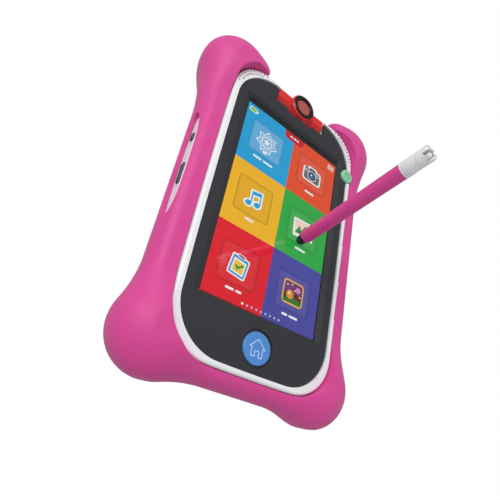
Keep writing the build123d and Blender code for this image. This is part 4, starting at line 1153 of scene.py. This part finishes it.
class HANDHELD_OT_picture(bpy.types.Operator):
    """Makes the display with its coloured picture, and the glass in front of it"""

    bl_idname = "handheld.picture"
    bl_label = "Screen Picture"

    def execute(self, context):
        sizes = context.scene.handheld_sizes
        piece = object_from("screen_picture", picture_mesh(sizes), finish("lit_picture"))
        settle(piece, MAIN_BODY, ["display_panel"])
        glass = object_from("screen_glass", glass_mesh(), finish("screen_glass"))
        smooth(glass.data, 40)
        settle(glass, MAIN_BODY, ["touch_glass"])
        return {"FINISHED"}


def glass_mesh():
    """Thin pane with rounded corners and eased edges."""
    width = (GLASS_HIGH.x - GLASS_LOW.x) / MM
    height = (GLASS_HIGH.z - GLASS_LOW.z) / MM
    middle = ((GLASS_HIGH.z + GLASS_LOW.z) / 2 - SCREEN_Z) / MM
    ease, back = 0.08, -0.04
    front = (GLASS_LOW.y - SCREEN_Y) / MM
    layers = ((front, ease), (front + ease, 0.0), (back, 0.0))
    rings = []
    for depth, inset in layers:
        outline = rounded_box(width - 2 * inset, height - 2 * inset, GLASS_CORNER - inset, 8, (0, middle))
        rings.append([on_screen(x, depth, z) for x, z in outline])
    return closed_mesh("screen_glass", rings)


class HANDHELD_OT_markings(bpy.types.Operator):
    """Makes the stitched lines round the icons, the row of page dots, and the dark discs of painted shade in
    the speaker holes
    """

    bl_idname = "handheld.markings"
    bl_label = "Picture Markings"

    def execute(self, context):
        sizes = context.scene.handheld_sizes
        width, height = sizes.image_width / MM, sizes.image_height / MM
        material = finish("lit_picture")
        stitches = stitch_tree()
        meshes, shifts = [], []
        stitch_depth = SCREEN_Y + (PICTURE_DEPTH - 3.6 * LEVEL_STEP) * MM
        for paint, column, row, *_ in TILES:
            x, z, box_width, box_height = icon_box(column, row, width, height)
            mesh = run_tree(stitches, material, Width=(box_width - 1.7) * MM, Height=(box_height - 1.7) * MM)
            mesh.transform(UPRIGHT)
            meshes.append(tinted(mesh, blended(PAINT[paint], PAINT["black"], 0.42)))
            shifts.append(Vector(((x - width / 2) * MM, stitch_depth, SCREEN_Z + (z - height / 2) * MM)))
        dots = dots_tree()
        dot_start = 0.33 * width
        dot_pitch = (0.654 - 0.33) * width / 8
        dot_z = (1 - 0.981) * height
        for index in range(2):
            count = 1 if index == 0 else 8
            mesh = run_tree(dots, material, Radius=(0.62 if index == 0 else 0.52) * MM, Pitch=dot_pitch * MM,
                            Count=count)
            paint = PAINT["white"] if index == 0 else blended(PAINT["white"], PAINT["purple"], 0.45)
            meshes.append(tinted(mesh, paint))
            start = dot_start + index * dot_pitch
            shifts.append(Vector(((start - width / 2) * MM, stitch_depth,
                                  SCREEN_Z + (dot_z - height / 2) * MM)))
        piece = joined("picture_markings", meshes, shifts, material)
        settle(piece, MAIN_BODY)
        # Dark discs in the speaker holes: painted shade that stands in for the darkness inside the holes.
        dark = finish("speaker_black")
        rows = perforation_tree()
        meshes, shifts = [], []
        for side in (-1, 1):
            for radius, first, last in PERFORATION_ROWS:
                low, high = (first, last) if side > 0 else (180 - last, 180 - first)
                mesh = run_tree(rows, dark, Arc_Radius=radius * MM, Start=math.radians(low),
                                Sweep=math.radians(high - low), Count=PERFORATION_COUNT,
                                Radius=PERFORATION_DOT * MM)
                mesh.transform(UPRIGHT)
                meshes.append(mesh)
                shifts.append(Vector((side * PERFORATION_X * MM, PERFORATION_Y * MM,
                                      SCREEN_Z + PERFORATION_RISE * MM)))
        settle(joined("speaker_hole_shade_discs", meshes, shifts, dark), MAIN_BODY)
        return {"FINISHED"}


class HANDHELD_OT_finishes(bpy.types.Operator):
    """Gives every moulded and metal part of the handheld its finish"""

    bl_idname = "handheld.finishes"
    bl_label = "Finishes"

    def execute(self, context):
        slots = {row["node"]: row["material_slot"] for row in frame["record"]["subparts"]}
        for name, node in NODES.items():
            material = finish(slots[name])
            if not node.material_slots:
                node.data.materials.append(material)
            for place in node.material_slots:
                place.material = material
        return {"FINISHED"}


# --------------------------------------------------------------------- stage
CAMERA_PLACE = Vector((-98.2, -149.9, -24.3)) * MM
CAMERA_FORWARD = Vector((0.481, 0.770, 0.420))
CAMERA_UP = Vector((-0.394, -0.238, 0.888))
CAMERA_LENS = 29.68
CAMERA_SHIFT = 0.06


def add_camera():
    """Camera close to the handheld, low at its left, looking up at it."""
    data = bpy.data.cameras.new("Camera")
    data.lens = CAMERA_LENS
    data.sensor_width = 36.0
    data.shift_y = CAMERA_SHIFT
    data.clip_start = 0.005
    data.clip_end = 50.0
    camera = bpy.data.objects.new("Camera", data)
    forward = CAMERA_FORWARD.normalized()
    right = forward.cross(CAMERA_UP).normalized()
    up = right.cross(forward)
    turn = Matrix((right, up, -forward)).transposed().to_4x4()
    camera.matrix_world = Matrix.Translation(CAMERA_PLACE) @ turn
    bpy.context.scene.collection.objects.link(camera)
    bpy.context.scene.camera = camera


def add_light(name, place, target, size, power):
    """Large soft lamp aimed at a point."""
    data = bpy.data.lights.new(name, "AREA")
    data.shape = "DISK"
    data.size = size
    data.energy = power
    lamp = bpy.data.objects.new(name, data)
    aim = (Vector(target) - Vector(place)).to_track_quat("-Z", "Y")
    lamp.matrix_world = Matrix.Translation(Vector(place)) @ aim.to_matrix().to_4x4()
    bpy.context.scene.collection.objects.link(lamp)


LAMPS = (("key", (-0.60, -0.85, 0.45), 0.7, 6.5), ("back", (0.20, 0.70, 0.60), 0.6, 3.0))
LAMP_TARGET = (0.0, 0.0, 0.09)
FLOOR_FADE = (0.22, 0.9)
FLOOR_REACH = 4.0


def floor_material():
    """Plain pale floor that is only there from above and fades out away from the handheld."""
    material, tree, shader = new_material("Studio Floor")
    place = tree.nodes.new("ShaderNodeTexCoord").outputs["Object"]
    shade = maths(tree, "MULTIPLY_ADD", noise(tree, place, 3.0), 0.02, 0.87)
    combine = tree.nodes.new("ShaderNodeCombineColor")
    for channel in ("Red", "Green", "Blue"):
        tree.links.new(shade, combine.inputs[channel])
    tree.links.new(combine.outputs["Color"], shader.inputs["Base Color"])
    shader.inputs["Roughness"].default_value = 0.55
    below = tree.nodes.new("ShaderNodeNewGeometry")
    clear = tree.nodes.new("ShaderNodeBsdfTransparent")
    mix = tree.nodes.new("ShaderNodeMixShader")
    output = next(node for node in tree.nodes if node.type == "OUTPUT_MATERIAL")
    length = tree.nodes.new("ShaderNodeVectorMath")
    length.operation = "LENGTH"
    tree.links.new(place, length.inputs[0])
    fade = tree.nodes.new("ShaderNodeMapRange")
    fade.interpolation_type = "SMOOTHSTEP"
    tree.links.new(length.outputs["Value"], fade.inputs["Value"])
    fade.inputs["From Min"].default_value = FLOOR_FADE[0]
    fade.inputs["From Max"].default_value = FLOOR_FADE[1]
    hidden = maths(tree, "MAXIMUM", below.outputs["Backfacing"], fade.outputs["Result"])
    rays = tree.nodes.new("ShaderNodeLightPath")
    hidden = maths(tree, "MAXIMUM", hidden, maths(tree, "SUBTRACT", 1.0, rays.outputs["Is Camera Ray"]))
    tree.links.new(hidden, mix.inputs[0])
    tree.links.new(shader.outputs[0], mix.inputs[1])
    tree.links.new(clear.outputs[0], mix.inputs[2])
    tree.links.new(mix.outputs[0], output.inputs["Surface"])
    return material


def add_floor():
    """Floor plane under the handheld."""
    mesh = bpy.data.meshes.new("floor")
    reach = FLOOR_REACH
    mesh.from_pydata([(-reach, -reach, 0), (reach, -reach, 0), (reach, reach, 0), (-reach, reach, 0)], [],
                     [(0, 1, 2, 3)])
    floor = object_from("floor", mesh, floor_material())


WORLD_LIGHT = 0.56
WORLD_GLOSS = 0.16


def set_world():
    """White surround for the camera, a softer one that lights the object, and a dim one in its gloss."""
    world = bpy.data.worlds.new("Studio")
    bpy.context.scene.world = world
    world.use_nodes = True
    tree = world.node_tree
    tree.nodes.clear()
    seen = tree.nodes.new("ShaderNodeBackground")
    seen.inputs["Color"].default_value = (1.0, 1.0, 1.0, 1.0)
    seen.inputs["Strength"].default_value = 1.0
    soft = tree.nodes.new("ShaderNodeBackground")
    soft.inputs["Color"].default_value = (0.97, 0.98, 1.0, 1.0)
    path = tree.nodes.new("ShaderNodeLightPath")
    tree.links.new(maths(tree, "MULTIPLY_ADD", path.outputs["Is Glossy Ray"], WORLD_GLOSS - WORLD_LIGHT,
                         WORLD_LIGHT), soft.inputs["Strength"])
    mix = tree.nodes.new("ShaderNodeMixShader")
    output = tree.nodes.new("ShaderNodeOutputWorld")
    tree.links.new(path.outputs["Is Camera Ray"], mix.inputs[0])
    tree.links.new(soft.outputs[0], mix.inputs[1])
    tree.links.new(seen.outputs[0], mix.inputs[2])
    tree.links.new(mix.outputs[0], output.inputs["Surface"])


class HANDHELD_OT_stage(bpy.types.Operator):
    """Sets up the floor, the soft lamps, the surround and the camera"""

    bl_idname = "handheld.stage"
    bl_label = "Stage"

    def execute(self, context):
        context.scene.view_settings.view_transform = "Standard"
        add_floor()
        set_world()
        for name, place, size, power in LAMPS:
            add_light(name, place, LAMP_TARGET, size, power)
        add_camera()
        return {"FINISHED"}


class HANDHELD_PT_panel(bpy.types.Panel):
    """Lists the handheld's pieces and settings"""

    bl_label = "Handheld"
    bl_idname = "HANDHELD_PT_panel"
    bl_space_type = "VIEW_3D"
    bl_region_type = "UI"
    bl_category = "Handheld"

    def draw(self, context):
        for group in (context.scene.handheld_sizes, context.scene.handheld_colours):
            for name in group.__annotations__:
                self.layout.prop(group, name)
        for operator in OPERATORS:
            self.layout.operator(operator.bl_idname)


OPERATORS = (HANDHELD_OT_finishes, HANDHELD_OT_bumper, HANDHELD_OT_picture, HANDHELD_OT_markings,
             HANDHELD_OT_stage)
CLASSES = (HandheldSizes, HandheldColours, *OPERATORS, HANDHELD_PT_panel)


def register():
    """Adds the classes and the scene's settings."""
    for item in CLASSES:
        bpy.utils.register_class(item)
    bpy.types.Scene.handheld_sizes = bpy.props.PointerProperty(type=HandheldSizes)
    bpy.types.Scene.handheld_colours = bpy.props.PointerProperty(type=HandheldColours)


def unregister():
    """Removes the classes and the scene's settings."""
    del bpy.types.Scene.handheld_colours
    del bpy.types.Scene.handheld_sizes
    for item in reversed(CLASSES):
        bpy.utils.unregister_class(item)


def main():
    """Makes every piece in order."""
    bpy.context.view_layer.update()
    register()
    bpy.ops.handheld.finishes()
    bpy.ops.handheld.bumper()
    bpy.ops.handheld.picture()
    bpy.ops.handheld.markings()
    bpy.ops.handheld.stage()


if __name__ == "__main__":
    main()
